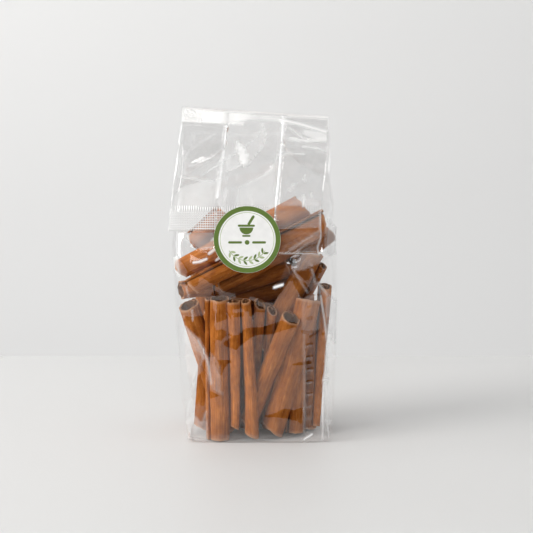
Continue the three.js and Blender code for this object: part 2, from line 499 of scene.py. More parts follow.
def weather(bm, marks, curls, length, roll, cuts, seed):
    """Bends and roughens a curled sheet, spreads its curls apart, and slants and frays its ends."""
    rng = random.Random(seed)
    shift = Vector((rng.uniform(0, 90), rng.uniform(0, 90), rng.uniform(0, 90)))
    way = rng.uniform(0, 2 * math.pi)
    lean_back = Vector((math.sin(math.radians(roll)), math.cos(math.radians(roll)), 0))

    def waver(size, across, layer, lengthwise):
        return size * noise.noise(shift + Vector((across, layer, lengthwise)))

    for vert in bm.verts:
        x, y, z = vert.co
        u = vert[marks["around"]]
        t = z / length
        from_end = min(z, length - z)
        vert[marks["along"]] = z
        vert[marks["seed"]] = seed
        vert[marks["rim"]] = 1.0 if from_end < 0.01 else 0.0
        foot_x, head_x, foot_radius, head_radius = curls[vert[marks["curl"]]]
        centre = foot_x + (head_x - foot_x) * t
        grow = 1 + (head_radius / foot_radius - 1) * t
        grow *= 1 + waver(0.05, 0, 0, z / 22)
        lumps = waver(0.38, u / 6, 5, z / 16)
        ridges = waver(0.17, u / 1.3, 9, z / 14)
        wrinkles = waver(0.09, u / 7, 17, z / 1.7)
        grow += (lumps + ridges + wrinkles) / max(math.hypot(x, y), 2.0)
        sag = BEND * 4 * t * (1 - t)
        frayed = waver(0.7, u / 2.2, 31, 0 if t < 0.5 else 8)
        across, tipped = cuts[:2] if t < 0.5 else cuts[2:]
        slant = across * (centre + x) + tipped * lean_back.dot(vert.co)
        near = max(0.0, 1 - from_end / END_ZONE)
        vert.co.x = centre + x * grow + sag * math.cos(way)
        vert.co.y = y * grow + sag * math.sin(way)
        vert.co.z = z + near * (frayed + slant)


# %% One stick
SHARP_FROM = math.radians(50)


def make_stick(name, foot, head, curls, turns, opening, roll, cuts, split, seed, tone):
    """A curled stick in mm; a curl is its centre at the foot and head, and its radius there.

    The cuts are slants across and away from the viewer, at the foot and then at the head. Below
    the length split, the sheet between two curls is torn out. The tone is how pale the bark is,
    partly its own tone and partly painted light and shade.
    """
    foot, head = Vector(foot), Vector(head)
    length = (head - foot).length
    bm, marks = curled_sheet(curls, turns, opening, length)
    weather(bm, marks, curls, length, roll, cuts, seed)
    own, along = marks["curl"], marks["along"]
    joining = [f for f in bm.faces if len({v[own] for v in f.verts}) > 1]
    torn = [f for f in joining if min(v[along] for v in f.verts) < split]
    bmesh.ops.delete(bm, geom=torn, context="FACES")
    sheet = set(bm.verts)
    bmesh.ops.solidify(bm, geom=bm.faces[:], thickness=BARK)
    for vert in bm.verts:
        vert[marks["inside"]] = 0.0 if vert in sheet else 1.0
        vert[marks["tone"]] = tone
    place = Matrix.Scale(MM, 4) @ Matrix.Translation(foot) @ rod_frame(foot, head, roll)
    bmesh.ops.transform(bm, matrix=place, verts=bm.verts[:])
    bmesh.ops.recalc_face_normals(bm, faces=bm.faces[:])
    for face in bm.faces:
        face.smooth = True
    mesh = bpy.data.meshes.new(name)
    bm.to_mesh(mesh)
    bm.free()
    mesh.materials.append(bark)
    mesh.set_sharp_from_angle(angle=SHARP_FROM)
    stick = add_object(name, mesh)
    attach(stick, "root")
    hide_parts("bag")


# %% [markdown]
# ## Where the sticks stand and lie
#
# The lower layer stands on end, the front row close behind the film. The upper layer lies across
# it and rises to the right. More sticks of the same kind fill the depth, as the clear back and
# sides of the bag show them too.
#
# The places are listed, and nothing here keeps the sticks apart. So many neighbours cut into
# each other, the broad front one and the one behind it by over 4 mm. To test each pair and move
# them apart would be the next step.

# %% The sticks of the bag
def one(foot_radius, head_radius):
    """A stick of one curl."""
    return [(0, 0, foot_radius, head_radius)]


def two(left, right):
    """A stick of two curls; each is its x at the foot and head, and its radius there."""
    return [left, right]


# A name, and then foot, head, curls, turns, opening, roll, cuts and the length torn apart.
PLAIN = (0, 0, 0, 0.13)
LYING = (0, -0.3, 0, 0.3)
STICKS = {
    "front_pair": (
        (-19.4, -17.2, 0.8), (-19.4, -20.2, 82.0),
        two((-6.0, -6.0, 1.3, 1.3), (0, 0, 5.6, 5.6)), 1.1, 0, 4, PLAIN, 0,
    ),
    "front_torn": (
        (-5.0, -19.0, 5.0), (-6.7, -22.2, 81.0),
        two((-5.2, -3.8, 2.4, 4.2), (3.6, 2.0, 3.9, 2.7)), 1.15, 0, 0, (-0.5, 0, 0, 0.2), 40,
    ),
    "front_far_left": (
        (-16.2, -5.4, 2.0), (-36.9, -16.8, 77.8), one(5.2, 5.9), 1.12, 60, 0, (0, 0, 0.1, 0.22), 0,
    ),
    "front_leaning": (
        (-3.5, -12.0, 9.5), (20.5, -20.2, 71.2), one(5.1, 5.6), 1.12, 110, 0, (0, 0, -0.12, 0.3), 0,
    ),
    "front_broad": (
        (10.2, -12.0, 4.8), (30.5, -10.0, 79.5), one(6.8, 7.8), 1.3, 100, 0, (-0.35, 0, 0.1, -0.2), 0,
    ),
    "front_right": ((35.5, -5.0, 5.0), (40.8, -3.0, 86.0), one(2.5, 3.9), 1.3, 150, 0, (0, 0, 0, 0.4), 0),
    "second_left": ((-30.0, 0.5, 3.0), (-26.5, 1.5, 57.0), one(5.8, 5.4), 1.4, 90, 0, (-0.3, 0, 0, 0.1), 0),
    "second_broken": (
        (3.5, -4.0, 29.0), (7.0, -14.5, 76.0),
        two((-3.0, -3.2, 3.1, 3.3), (3.0, 3.2, 3.0, 3.1)), 1.1, 20, 6, (0, 0, -0.5, 0.5), 0,
    ),
    "second_broad": (
        (6.0, -2.0, 50.5), (33.0, -9.0, 105.0), one(7.2, 6.0), 1.3, 120, 0, (0, 0, 0.3, -0.3), 0,
    ),
    "second_right": ((23.5, -8.0, 2.0), (26.5, -1.0, 75.8), one(5.0, 5.0), 1.4, 200, 0, PLAIN, 0),
    "third_far_left": ((-24.0, 9.5, 1.0), (-24.5, 8.5, 70.0), one(5.2, 5.2), 1.5, 40, 0, PLAIN, 0),
    "third_left": (
        (-13.2, 6.8, 1.6), (-13.0, 8.0, 66.0),
        two((-2.8, -2.8, 3.0, 3.0), (2.8, 2.8, 3.0, 3.0)), 1.15, 90, 160, PLAIN, 0,
    ),
    "third_middle": ((-1.8, 7.0, 1.0), (-1.8, 8.0, 66.0), one(5.6, 5.6), 1.5, 300, 0, PLAIN, 0),
    "third_inner": ((9.2, 7.3, 1.0), (9.2, 9.1, 65.0), one(5.4, 5.4), 1.4, 100, 0, PLAIN, 0),
    "third_right": ((20.2, 6.0, 1.0), (20.4, 9.0, 69.0), one(5.5, 5.5), 1.5, 100, 0, PLAIN, 0),
    "third_far_right": ((31.3, 5.4, 1.0), (32.0, 9.0, 72.0), one(5.5, 5.5), 1.4, 250, 0, PLAIN, 0),
    "back_far_left": ((-26.4, 19.4, 1.0), (-29.5, 19.4, 79.0), one(5.4, 5.4), 1.4, 70, 0, PLAIN, 0),
    "back_left": (
        (-15.2, 19.2, 1.0), (-17.2, 20.2, 86.0),
        two((-2.7, -2.7, 3.1, 3.1), (2.7, 2.7, 3.0, 3.0)), 1.15, 90, 180, PLAIN, 0,
    ),
    "back_middle": ((-4.0, 19.2, 1.0), (-5.2, 19.8, 82.0), one(5.6, 5.6), 1.5, 80, 0, PLAIN, 0),
    "back_inner": ((7.2, 18.4, 1.0), (6.4, 19.8, 86.5), one(5.6, 5.6), 1.4, 30, 0, PLAIN, 0),
    "back_right": (
        (18.4, 19.4, 1.0), (17.6, 19.8, 84.0),
        two((-2.9, -2.9, 3.1, 3.1), (2.8, 2.8, 3.0, 3.0)), 1.15, 90, 190, PLAIN, 0,
    ),
    "back_far_right": ((29.4, 19.0, 1.0), (29.0, 19.6, 77.5), one(5.4, 5.4), 1.5, 10, 0, PLAIN, 0),
    "upper_crossing": (
        (-40.4, -16.0, 98.7), (27.6, -8.6, 133.0), one(5.3, 7.3), 1.4, 20, 0, (0.15, 0.5, 0.3, 0), 0,
    ),
    "upper_front": (
        (-34.6, -20.8, 88.6), (39.6, -14.0, 123.4), one(4.6, 7.0), 1.25, 200, 0, (0.3, 0, -0.4, 0), 0,
    ),
    "upper_inner": (
        (-18.1, -13.0, 87.8), (31.5, -2.2, 113.0), one(4.3, 4.3), 1.4, 200, 0, (0, 0.6, 0, -0.4), 0,
    ),
    "upper_shaded": (
        (-24.2, 4.4, 81.0), (18.9, -0.4, 97.0), one(5.8, 6.6), 1.4, 200, 0, (0, -0.3, 0, -0.3), 0,
    ),
    "upper_hidden": ((-15.0, 8.0, 76.5), (26.5, 8.0, 85.5), one(5.6, 5.6), 1.4, 20, 0, LYING, 0),
    "upper_left_end": (
        (-41.2, -7.6, 84.4), (-22.5, -9.0, 86.2), one(5.2, 5.0), 1.15, 200, 0, (0, -0.45, 0, 0), 0,
    ),
    "upper_left_chip": (
        (-33.2, 3.0, 111.6), (-16.7, 6.0, 127.2), one(6.2, 5.6), 1.4, 180, 0, (0, 0.6, 0, 0), 0,
    ),
    "upper_right_end": (
        (22.0, 3.0, 99.5), (42.8, 7.0, 115.6), one(5.0, 5.6), 1.4, 180, 0, (0, -0.3, 0, -0.3), 0,
    ),
    "upper_right_slip": ((29.0, 6.6, 76.0), (39.4, 2.2, 97.0), one(3.0, 2.8), 1.1, 180, 0, LYING, 0),
    "upper_back": ((-36.0, 15.4, 93.0), (36.0, 15.4, 92.0), one(5.2, 5.2), 1.5, 60, 0, LYING, 0),
    "upper_back_right": ((5.0, 13.6, 103.4), (37.1, 17.0, 102.8), one(5.0, 5.0), 1.5, 60, 0, LYING, 0),
    "upper_back_left": ((-30.0, 14.6, 104.0), (18.0, 12.6, 117.0), one(5.2, 5.2), 1.5, 60, 0, LYING, 0),
}

# How pale a stick is beside the others: partly its own tone, partly painted light and shade,
# paler for sticks that should catch more light and darker for those that lie in shade.
TONE_AND_PAINTED_LIGHT = {
    "front_pair": 1.14,
    "front_torn": 1.25,
    "front_broad": 1.06,
    "front_right": 1.15,
    "second_left": 0.9,
    "second_broken": 1.15,
    "second_broad": 0.9,
    "upper_crossing": 1.3,
    "upper_shaded": 0.8,
    "back_left": 0.85,
    "back_inner": 1.1,
    "back_far_right": 0.9,
    "upper_back": 1.08,
}

FIRST_SEED = 3
for seed, (name, shape) in enumerate(STICKS.items(), FIRST_SEED):
    make_stick("stick_" + name, *shape, seed=seed, tone=TONE_AND_PAINTED_LIGHT.get(name, 1.0))
faces = [len(o.data.polygons) for o in bpy.data.objects if o.name.startswith("stick_")]
print(len(faces), "sticks,", sum(faces), "faces, the largest", max(faces))

# %% [markdown]
# ## Film
#
# The bag is one tube of clear film: a front, a back and two folded side gussets. It stands on a
# flat base, narrows above the sticks, turns over at the top and hangs down in front, where it ends
# in a crimped seal. It is modelled as that tube. A grid is rolled round the bag and up its height,
# over the fold and down the flap, and then laid over the sticks like a stretched skin.
#
# The outline table repeats the named sizes of the CAD model, so that the film keeps to its box.

# %% Outline of the bag, in mm
BASE_EDGE = 1.6
BASE_SQUARE = 9
BODY_SQUARE = 4.5
NECK_SQUARE = 22
NECK_TOP = 181
NECK_SHEET = 3.0
FLAP_SHEET = 1.2
FOLD_TILT = -0.074
FLAP_END = 121
FLAP_END_TILT = 0.02
GUSSET_START = 142
GUSSET_FULL = 168
GUSSET_DEPTH = 26
CRIMP_HEIGHT = 13
NECK_FROM = 134

BODY_Z = [0, 1.6, 20, 54, 82, 98, 110, 121, 135, 153, 170, 181]
BODY_LEFT = [-36.6, -37.9, -40.3, -43.8, -44.8, -45.6, -46.4, -45.2, -43.2, -40.6, -40.0, -39.8]
BODY_RIGHT = [42.6, 43.9, 45.7, 46.7, 47.0, 47.0, 46.6, 45.8, 44.4, 43.2, 42.4, 42.0]
BODY_FRONT = [-23.1, -24.6, -26.1, -27.0, -27.3, -26.7, -25.1, -22.5, -18.5, -13.5, -8.9, -6.5]
BODY_BACK = [24.3, 25.8, 27.3, 28.0, 27.8, 26.8, 25.0, 21.8, 16.2, 8.6, 0.8, -3.4]
FLAP_Z = [121, 140, 160, 181]
FLAP_LEFT = [-47.0, -45.2, -42.2, -39.8]
FLAP_RIGHT = [36.8, 38.4, 40.4, 42.0]

# Just below the flap the film stands this much in front of the outline, to be more upright.
FORWARD = 1.0
FORWARD_RISE = (98, 109)
FORWARD_FALL = (109, 120)

# Heights between which the corners of a ring soften and then sharpen, and where the tilt starts.
CORNERS_SOFTEN = (4, 50)
CORNERS_SHARPEN = (118, 150)
TILT_FROM = 125

# The way of the film over the fold, as depth and height: a broad slope on the left of the bag and
# a steep one on the right.
BROAD_WAY = [(-4.95, 181), (-5.2, 184.3), (-6.4, 185.4), (-8.2, 184.4), (-15.0, 177.6)]
STEEP_WAY = [(-4.95, 181), (-5.2, 184.3), (-6.4, 185.4), (-7.8, 184.0), (-11.6, 176.0)]
WAY_DOWN = [(-16.6, 168), (-17.6, 158), (-20.3, 140), (-23.9, 121)]
BROAD_UNTIL = -8
STEEP_FROM = 5


def track(places, values, at):
    """A smooth curve through a table, with no overshoot, at an array of places."""
    x = np.asarray(places, float)
    y = np.asarray(values, float)
    slope = np.diff(y) / np.diff(x)
    both = slope[:-1] + slope[1:]
    mean = 2 * slope[:-1] * slope[1:] / np.where(both == 0, 1, both)
    inner = np.where(slope[:-1] * slope[1:] > 0, mean, 0)
    m = np.concatenate([[slope[0]], inner, [slope[-1]]])
    at = np.clip(np.asarray(at, float), x[0], x[-1])
    i = np.clip(np.searchsorted(x, at, side="right") - 1, 0, len(x) - 2)
    span = x[i + 1] - x[i]
    t = (at - x[i]) / span
    start = (2 * t**3 - 3 * t**2 + 1) * y[i] + (t**3 - 2 * t**2 + t) * m[i] * span
    return start + (3 * t**2 - 2 * t**3) * y[i + 1] + (t**3 - t**2) * m[i + 1] * span


def smooth(low, high, value):
    """0 below low, 1 above high and smooth between."""
    t = np.clip((np.asarray(value, float) - low) / (high - low), 0, 1)
    return t * t * (3 - 2 * t)


print("width at 90 mm:", track(BODY_Z, BODY_RIGHT, 90) - track(BODY_Z, BODY_LEFT, 90))

# %% Rows and columns of the film
LOW_TOP = 112
LOW_ROWS = 160
NECK_ROWS = 50
OVER_ROWS = 108
BODY_ROWS = LOW_ROWS + NECK_ROWS
FRONT_COLUMNS = 170
SIDE_COLUMNS = 26
BACK_COLUMNS = 62
COLUMNS = 2 * SIDE_COLUMNS + FRONT_COLUMNS + BACK_COLUMNS
ROWS = BODY_ROWS + 1 + OVER_ROWS
AHEAD = slice(2 * SIDE_COLUMNS + BACK_COLUMNS, COLUMNS)
BEHIND = slice(SIDE_COLUMNS, SIDE_COLUMNS + BACK_COLUMNS)
ALL_ROUND = slice(0, COLUMNS)

# The rows from which the film is past the top of its fold, and from which it hangs in front.
OUTSIDE_FROM = BODY_ROWS + 14
FLAP_FROM = BODY_ROWS + 40
print("film grid:", ROWS, "rows of", COLUMNS, "points")


def ring_shape(square, left, right, half, gusset):
    """One row for each ring: place across, and depth from the middle of the ring."""
    square = square[:, None]
    corner = 0.5 ** (1 / square)

    def span(steps):
        """Places from corner to corner, a little closer together near the corners."""
        even = 2 * np.arange(steps) / steps - 1
        return (0.65 * even + 0.35 * np.sin(math.pi / 2 * even))[None, :] * corner

    def bow(v):
        """How far out the ring lies at the place v."""
        return (1 - np.abs(v) ** square) ** (1 / square)

    flank, behind, ahead = span(SIDE_COLUMNS), span(BACK_COLUMNS), span(FRONT_COLUMNS)
    side = np.hstack([bow(flank), -behind, -bow(flank), ahead])
    rise = np.hstack([flank, bow(behind), -flank, -bow(ahead)])
    in_flank = np.zeros(COLUMNS)
    in_flank[:SIDE_COLUMNS] = 1
    in_flank[SIDE_COLUMNS + BACK_COLUMNS : 2 * SIDE_COLUMNS + BACK_COLUMNS] = 1
    half = half[:, None]
    mouth = np.maximum(half - np.where(half > 3, 1.1, 0.3 * half), 0.05)
    depth = rise * half
    inset = in_flank * gusset[:, None] * np.clip(1 - np.abs(depth) / mouth, 0, 1)
    middle = (left + right)[:, None] / 2
    width = (right - left)[:, None] / 2
    return middle + side * width - np.sign(side) * inset, depth


# %% The body of the film
def body_points():
    """The upright part of the film, from the base to the top of the neck."""
    low = np.linspace(BASE_EDGE, LOW_TOP, LOW_ROWS)
    z = np.concatenate([[0.0], low, np.linspace(LOW_TOP, NECK_TOP, NECK_ROWS + 1)[1:]])
    front = track(BODY_Z, BODY_FRONT, z)
    front = front - FORWARD * smooth(*FORWARD_RISE, z) * (1 - smooth(*FORWARD_FALL, z))
    back = track(BODY_Z, BODY_BACK, z)
    square = BASE_SQUARE + (BODY_SQUARE - BASE_SQUARE) * smooth(*CORNERS_SOFTEN, z)
    square = square + (NECK_SQUARE - square) * smooth(*CORNERS_SHARPEN, z)
    left = track(BODY_Z, BODY_LEFT, z)
    right = track(BODY_Z, BODY_RIGHT, z)
    gusset = GUSSET_DEPTH * smooth(GUSSET_START, GUSSET_FULL, z)
    x, depth = ring_shape(square, left, right, (back - front) / 2, gusset)
    y = ((front + back) / 2)[:, None] + depth
    tilt = FOLD_TILT * smooth(TILT_FROM, NECK_TOP, z)[:, None]
    return np.stack([x, y, z[:, None] + tilt * x], axis=-1)


# %% The way over the fold and down
# The step in mm at which the way is worked out, the runs of steps over which it is rounded, and the
# length near the fold that takes a third of the rows.
DENSE = 0.2
ROUNDING = (9, 5)
NEAR_FOLD = 20


def walk(way, count):
    """Evenly spaced places along a rounded way, and the direction outwards at each."""
    corners = np.array(way, float)
    run = np.concatenate([[0], np.cumsum(np.hypot(*np.diff(corners, axis=0).T))])
    dense = np.arange(0, run[-1], DENSE)
    line = np.stack([np.interp(dense, run, corners[:, k]) for k in (0, 1)], axis=1)
    for size in ROUNDING:
        padded = np.pad(line, ((size // 2, size // 2), (0, 0)), mode="edge")
        line = np.stack([np.convolve(padded[:, k], np.ones(size) / size, "valid") for k in (0, 1)], 1)
    near_fold = np.linspace(0, NEAR_FOLD, count // 3 + 1)[1:]
    further = np.linspace(NEAR_FOLD, dense[-1], count - count // 3 + 1)[1:]
    at = np.concatenate([near_fold, further])
    place = np.stack([np.interp(at, dense, line[:, k]) for k in (0, 1)], axis=1)
    onward = np.gradient(line, axis=0)
    onward /= np.linalg.norm(onward, axis=1, keepdims=True)
    onward = np.stack([np.interp(at, dense, onward[:, k]) for k in (0, 1)], axis=1)
    outward = np.stack([onward[:, 1], -onward[:, 0]], axis=1)
    return place, outward, at / at[-1]


def over_points():
    """The film from the top of the neck over the fold and down to the seal."""
    broad, broad_out, share = walk(BROAD_WAY + WAY_DOWN, OVER_ROWS)
    steep, steep_out, _ = walk(STEEP_WAY + WAY_DOWN, OVER_ROWS)
    z = (broad[:, 1] + steep[:, 1]) / 2
    left = track(FLAP_Z, FLAP_LEFT, z)
    right = track(FLAP_Z, FLAP_RIGHT, z)
    half = (NECK_SHEET + (FLAP_SHEET - NECK_SHEET) * smooth(0, 0.12, share)) / 2
    square = np.full(OVER_ROWS, float(NECK_SQUARE))
    gusset = np.full(OVER_ROWS, float(GUSSET_DEPTH))
    x, depth = ring_shape(square, left, right, half, gusset)
    part = smooth(BROAD_UNTIL, STEEP_FROM, x)
    y, z = [broad[:, k, None] + (steep - broad)[:, k, None] * part for k in (0, 1)]
    out_y, out_z = [broad_out[:, k, None] + (steep_out - broad_out)[:, k, None] * part for k in (0, 1)]
    tilt = (FOLD_TILT + (FLAP_END_TILT - FOLD_TILT) * share)[:, None]
    return np.stack([x, y + out_y * depth, z + out_z * depth + tilt * x], axis=-1)


grid = np.concatenate([body_points(), over_points()])
print("film box:", grid.min((0, 1)).round(1), grid.max((0, 1)).round(1))

# %% [markdown]
# ### Stretching the film over the sticks
#
# The film may not lie behind a stick, and between sticks it pulls straight. That is a skin held
# out by obstacles: each point moves to the mean of its neighbours, and is pushed back out wherever
# a stick is in its way. A cloth simulation could do the same, but would take far longer.
#
# Only the front and the back are stretched. At the sides, where nothing pushes the film out, the
# rims of two lying sticks come through it by about half a millimetre.


# %% How far out the sticks reach
# How far bark may stand out beyond its radius, and a depth that means that no stick is there.
UNEVEN = 0.5
NOWHERE = -1e9


def stick_rods():
    """Each curl of each stick as a straight rod: its ends and its radii there, in mm."""
    rods = []
    for foot, head, curls, _, _, roll, _, _ in STICKS.values():
        frame_of = rod_frame(Vector(foot), Vector(head), roll).to_3x3()
        for foot_x, head_x, foot_r, head_r in curls:
            low = Vector(foot) + frame_of @ Vector((foot_x, 0, 0))
            high = Vector(head) + frame_of @ Vector((head_x, 0, 0))
            rods.append((np.array(low), np.array(high), foot_r + UNEVEN, head_r + UNEVEN))
    return rods


def reach_of_sticks(x, z, outward):
    """How far the sticks reach towards the front (-1) or the back (+1) over a field of x and z."""
    best = np.full(x.shape, NOWHERE)
    for a, b, foot_radius, head_radius in stick_rods():
        d = b - a
        t = ((x - a[0]) * d[0] + (z - a[2]) * d[2]) / (d[0] ** 2 + d[2] ** 2)
        t = np.clip(t, 0, 1)
        away = np.hypot(x - a[0] - t * d[0], z - a[2] - t * d[2])
        depth = a[1] + t * d[1]
        radius = foot_radius + t * (head_radius - foot_radius)
        height = np.sqrt(np.maximum(radius**2 - away**2, 0))
        out = outward * depth + height
        best = np.maximum(best, np.where(away < radius, out, NOWHERE))
    return best


# %% The stretched skin
FILM_GAP = 0.25
FILM_SLACK = 0.6
FILLED_TO = 126
PASSES = 400
INNER = (slice(1, -1), slice(1, -1))


def mean_of_neighbours(field):
    """The mean of the four neighbours of each inner point of a field."""
    return (field[:-2, 1:-1] + field[2:, 1:-1] + field[1:-1, :-2] + field[1:-1, 2:]) / 4


def stretch(points, outward):
    """Relaxes the front (-1) or the back (1) of the body, held out by the sticks."""
    limit = outward * points[..., 1]
    held = reach_of_sticks(points[..., 0], points[..., 2], outward) + FILM_GAP
    level = limit.copy()
    furthest = limit + FILM_SLACK
    least = np.minimum(held, furthest)
    for _ in range(PASSES):
        level[INNER] = np.clip(mean_of_neighbours(level), least[INNER], furthest[INNER])
    points[..., 1] = outward * level
    return float((limit - level).max())


MIDDLE_COLUMN = COLUMNS - FRONT_COLUMNS // 2
filled = int(np.searchsorted(grid[: BODY_ROWS + 1, MIDDLE_COLUMN, 2], FILLED_TO))
drawn_in = stretch(grid[:filled, AHEAD], -1)
drawn_back = stretch(grid[:filled, BEHIND], 1)
print("film drawn in by up to", round(drawn_in, 1), "mm in front,", round(drawn_back, 1), "behind")

# %% [markdown]
# ### Creases
#
# Film of this kind doesn't stretch, it buckles into flat facets with crisp edges. A net of
# scattered points with small heights, joined by triangles, gives such facets: inside a triangle
# the film is a tilted plane, and its edges are the creases. Smooth noise would make it look like
# rubber. Long straight creases are added over it as low tent-shaped ridges. Creases and tilted
# panes also carry a whiteness: partly the white of creased and layered film, partly painted
# highlights, glints and haze where the film would mirror light.


# %% A net of flat facets
def facet_heights(u, v, step_u, step_v, seed):
    """Heights over a field of u and v, flat inside each triangle of a scattered net."""
    rng = random.Random(seed)
    low_u, high_u = float(u.min()) - 20, float(u.max()) + 20
    low_v, high_v = float(v.min()) - 20, float(v.max()) + 20
    spots = []
    count_u = int((high_u - low_u) / step_u) + 1
    count_v = int((high_v - low_v) / step_v) + 1
    for i in range(count_u):
        for j in range(count_v):
            pu = low_u + (i + 0.5 * (j % 2) + rng.uniform(-0.38, 0.38)) * step_u
            pv = low_v + (j + rng.uniform(-0.38, 0.38)) * step_v
            spots.append((pu, pv, rng.uniform(-1, 1)))
    flat = [Vector((a, b)) for a, b, _ in spots]
    net = geometry.delaunay_2d_cdt(flat, [], [], 0, 0.001)
    origin = net[3]
    height = np.zeros(u.shape)
    for triangle in net[2]:
        corners = [net[0][k] for k in triangle]
        values = [spots[origin[k][0]][2] for k in triangle]
        (ax, ay), (bx, by), (cx, cy) = corners
        area = (bx - ax) * (cy - ay) - (cx - ax) * (by - ay)
        if abs(area) < 1e-6:
            continue
        box = (u >= min(ax, bx, cx)) & (u <= max(ax, bx, cx))
        box &= (v >= min(ay, by, cy)) & (v <= max(ay, by, cy))
        if not box.any():
            continue
        pu, pv = u[box], v[box]
        wb = ((pu - ax) * (cy - ay) - (cx - ax) * (pv - ay)) / area
        wc = ((bx - ax) * (pv - ay) - (pu - ax) * (by - ay)) / area
        wa = 1 - wb - wc
        inside = (wa >= -1e-6) & (wb >= -1e-6) & (wc >= -1e-6)
        value = wa * values[0] + wb * values[1] + wc * values[2]
        field = height[box]
        field[inside] = value[inside]
        height[box] = field
    return height


# %% Panes and long creases
PANE_EDGE = 1.3
RISING_EDGE = 9.0


def pane_fields(x, z, panes, edge=PANE_EDGE, hinge=0.5):
    """Heights and whiteness of flat panes, each tilted about a level line.

    A pane is its slopes across and up, its whiteness and its stations (x, bottom, top) in mm. The
    whiteness is partly painted highlights and haze. The edge is the width over which it fades into
    the film, and the hinge tells how high up the pane the line lies, from 0 at the bottom to 1 at
    the top.
    """
    height = np.zeros(x.shape)
    white_and_painted_glints = np.zeros(x.shape)
    for across, up, pale, stations in panes:
        sx, low, high = [np.array(v, float) for v in zip(*stations)]
        near_x = np.clip(x, sx[0], sx[-1])
        near_z = np.clip(z, np.interp(near_x, sx, low), np.interp(near_x, sx, high))
        cover = np.clip(1 - np.hypot(x - near_x, z - near_z) / edge, 0, 1)
        hinge_z = low.mean() + hinge * (high.mean() - low.mean())
        height += cover * (across * (near_x - sx.mean()) + up * (near_z - hinge_z))
        white_and_painted_glints = np.maximum(white_and_painted_glints, pale * cover)
    return height, white_and_painted_glints


def rising_fields(x, z, panes):
    """The same for panes that start flush at the bottom and rise out of the film, softly edged."""
    return pane_fields(x, z, panes, edge=RISING_EDGE, hinge=0.0)


def crease_fields(x, z, creases):
    """Heights and whiteness of tent-shaped creases along lines of points (x, z) in mm.

    A crease is its height, half width, whiteness and points. The whiteness is partly the white of
    creased film and partly painted highlights and glints.
    """
    height = np.zeros(x.shape)
    white_and_painted_glints = np.zeros(x.shape)
    for tall, half, pale, points in creases:
        for (x0, z0), (x1, z1) in zip(points, points[1:]):
            dx, dz = x1 - x0, z1 - z0
            t = np.clip(((x - x0) * dx + (z - z0) * dz) / (dx * dx + dz * dz), 0, 1)
            away = np.hypot(x - x0 - t * dx, z - z0 - t * dz)
            height = np.maximum(height, tall * np.clip(1 - away / (1.7 * half), 0, 1))
            white_and_painted_glints = np.maximum(white_and_painted_glints, pale * np.clip(1.3 - away / half, 0, 1))
    return height, white_and_painted_glints


def outward_normals(points):
    """Unit normals of the grid, from its neighbours; columns wrap round."""
    round_way = np.roll(points, -1, 1) - np.roll(points, 1, 1)
    up_way = np.gradient(points, axis=0)
    normal = np.cross(round_way, up_way)
    size = np.linalg.norm(normal, axis=-1, keepdims=True)
    return normal / np.maximum(size, 1e-9)
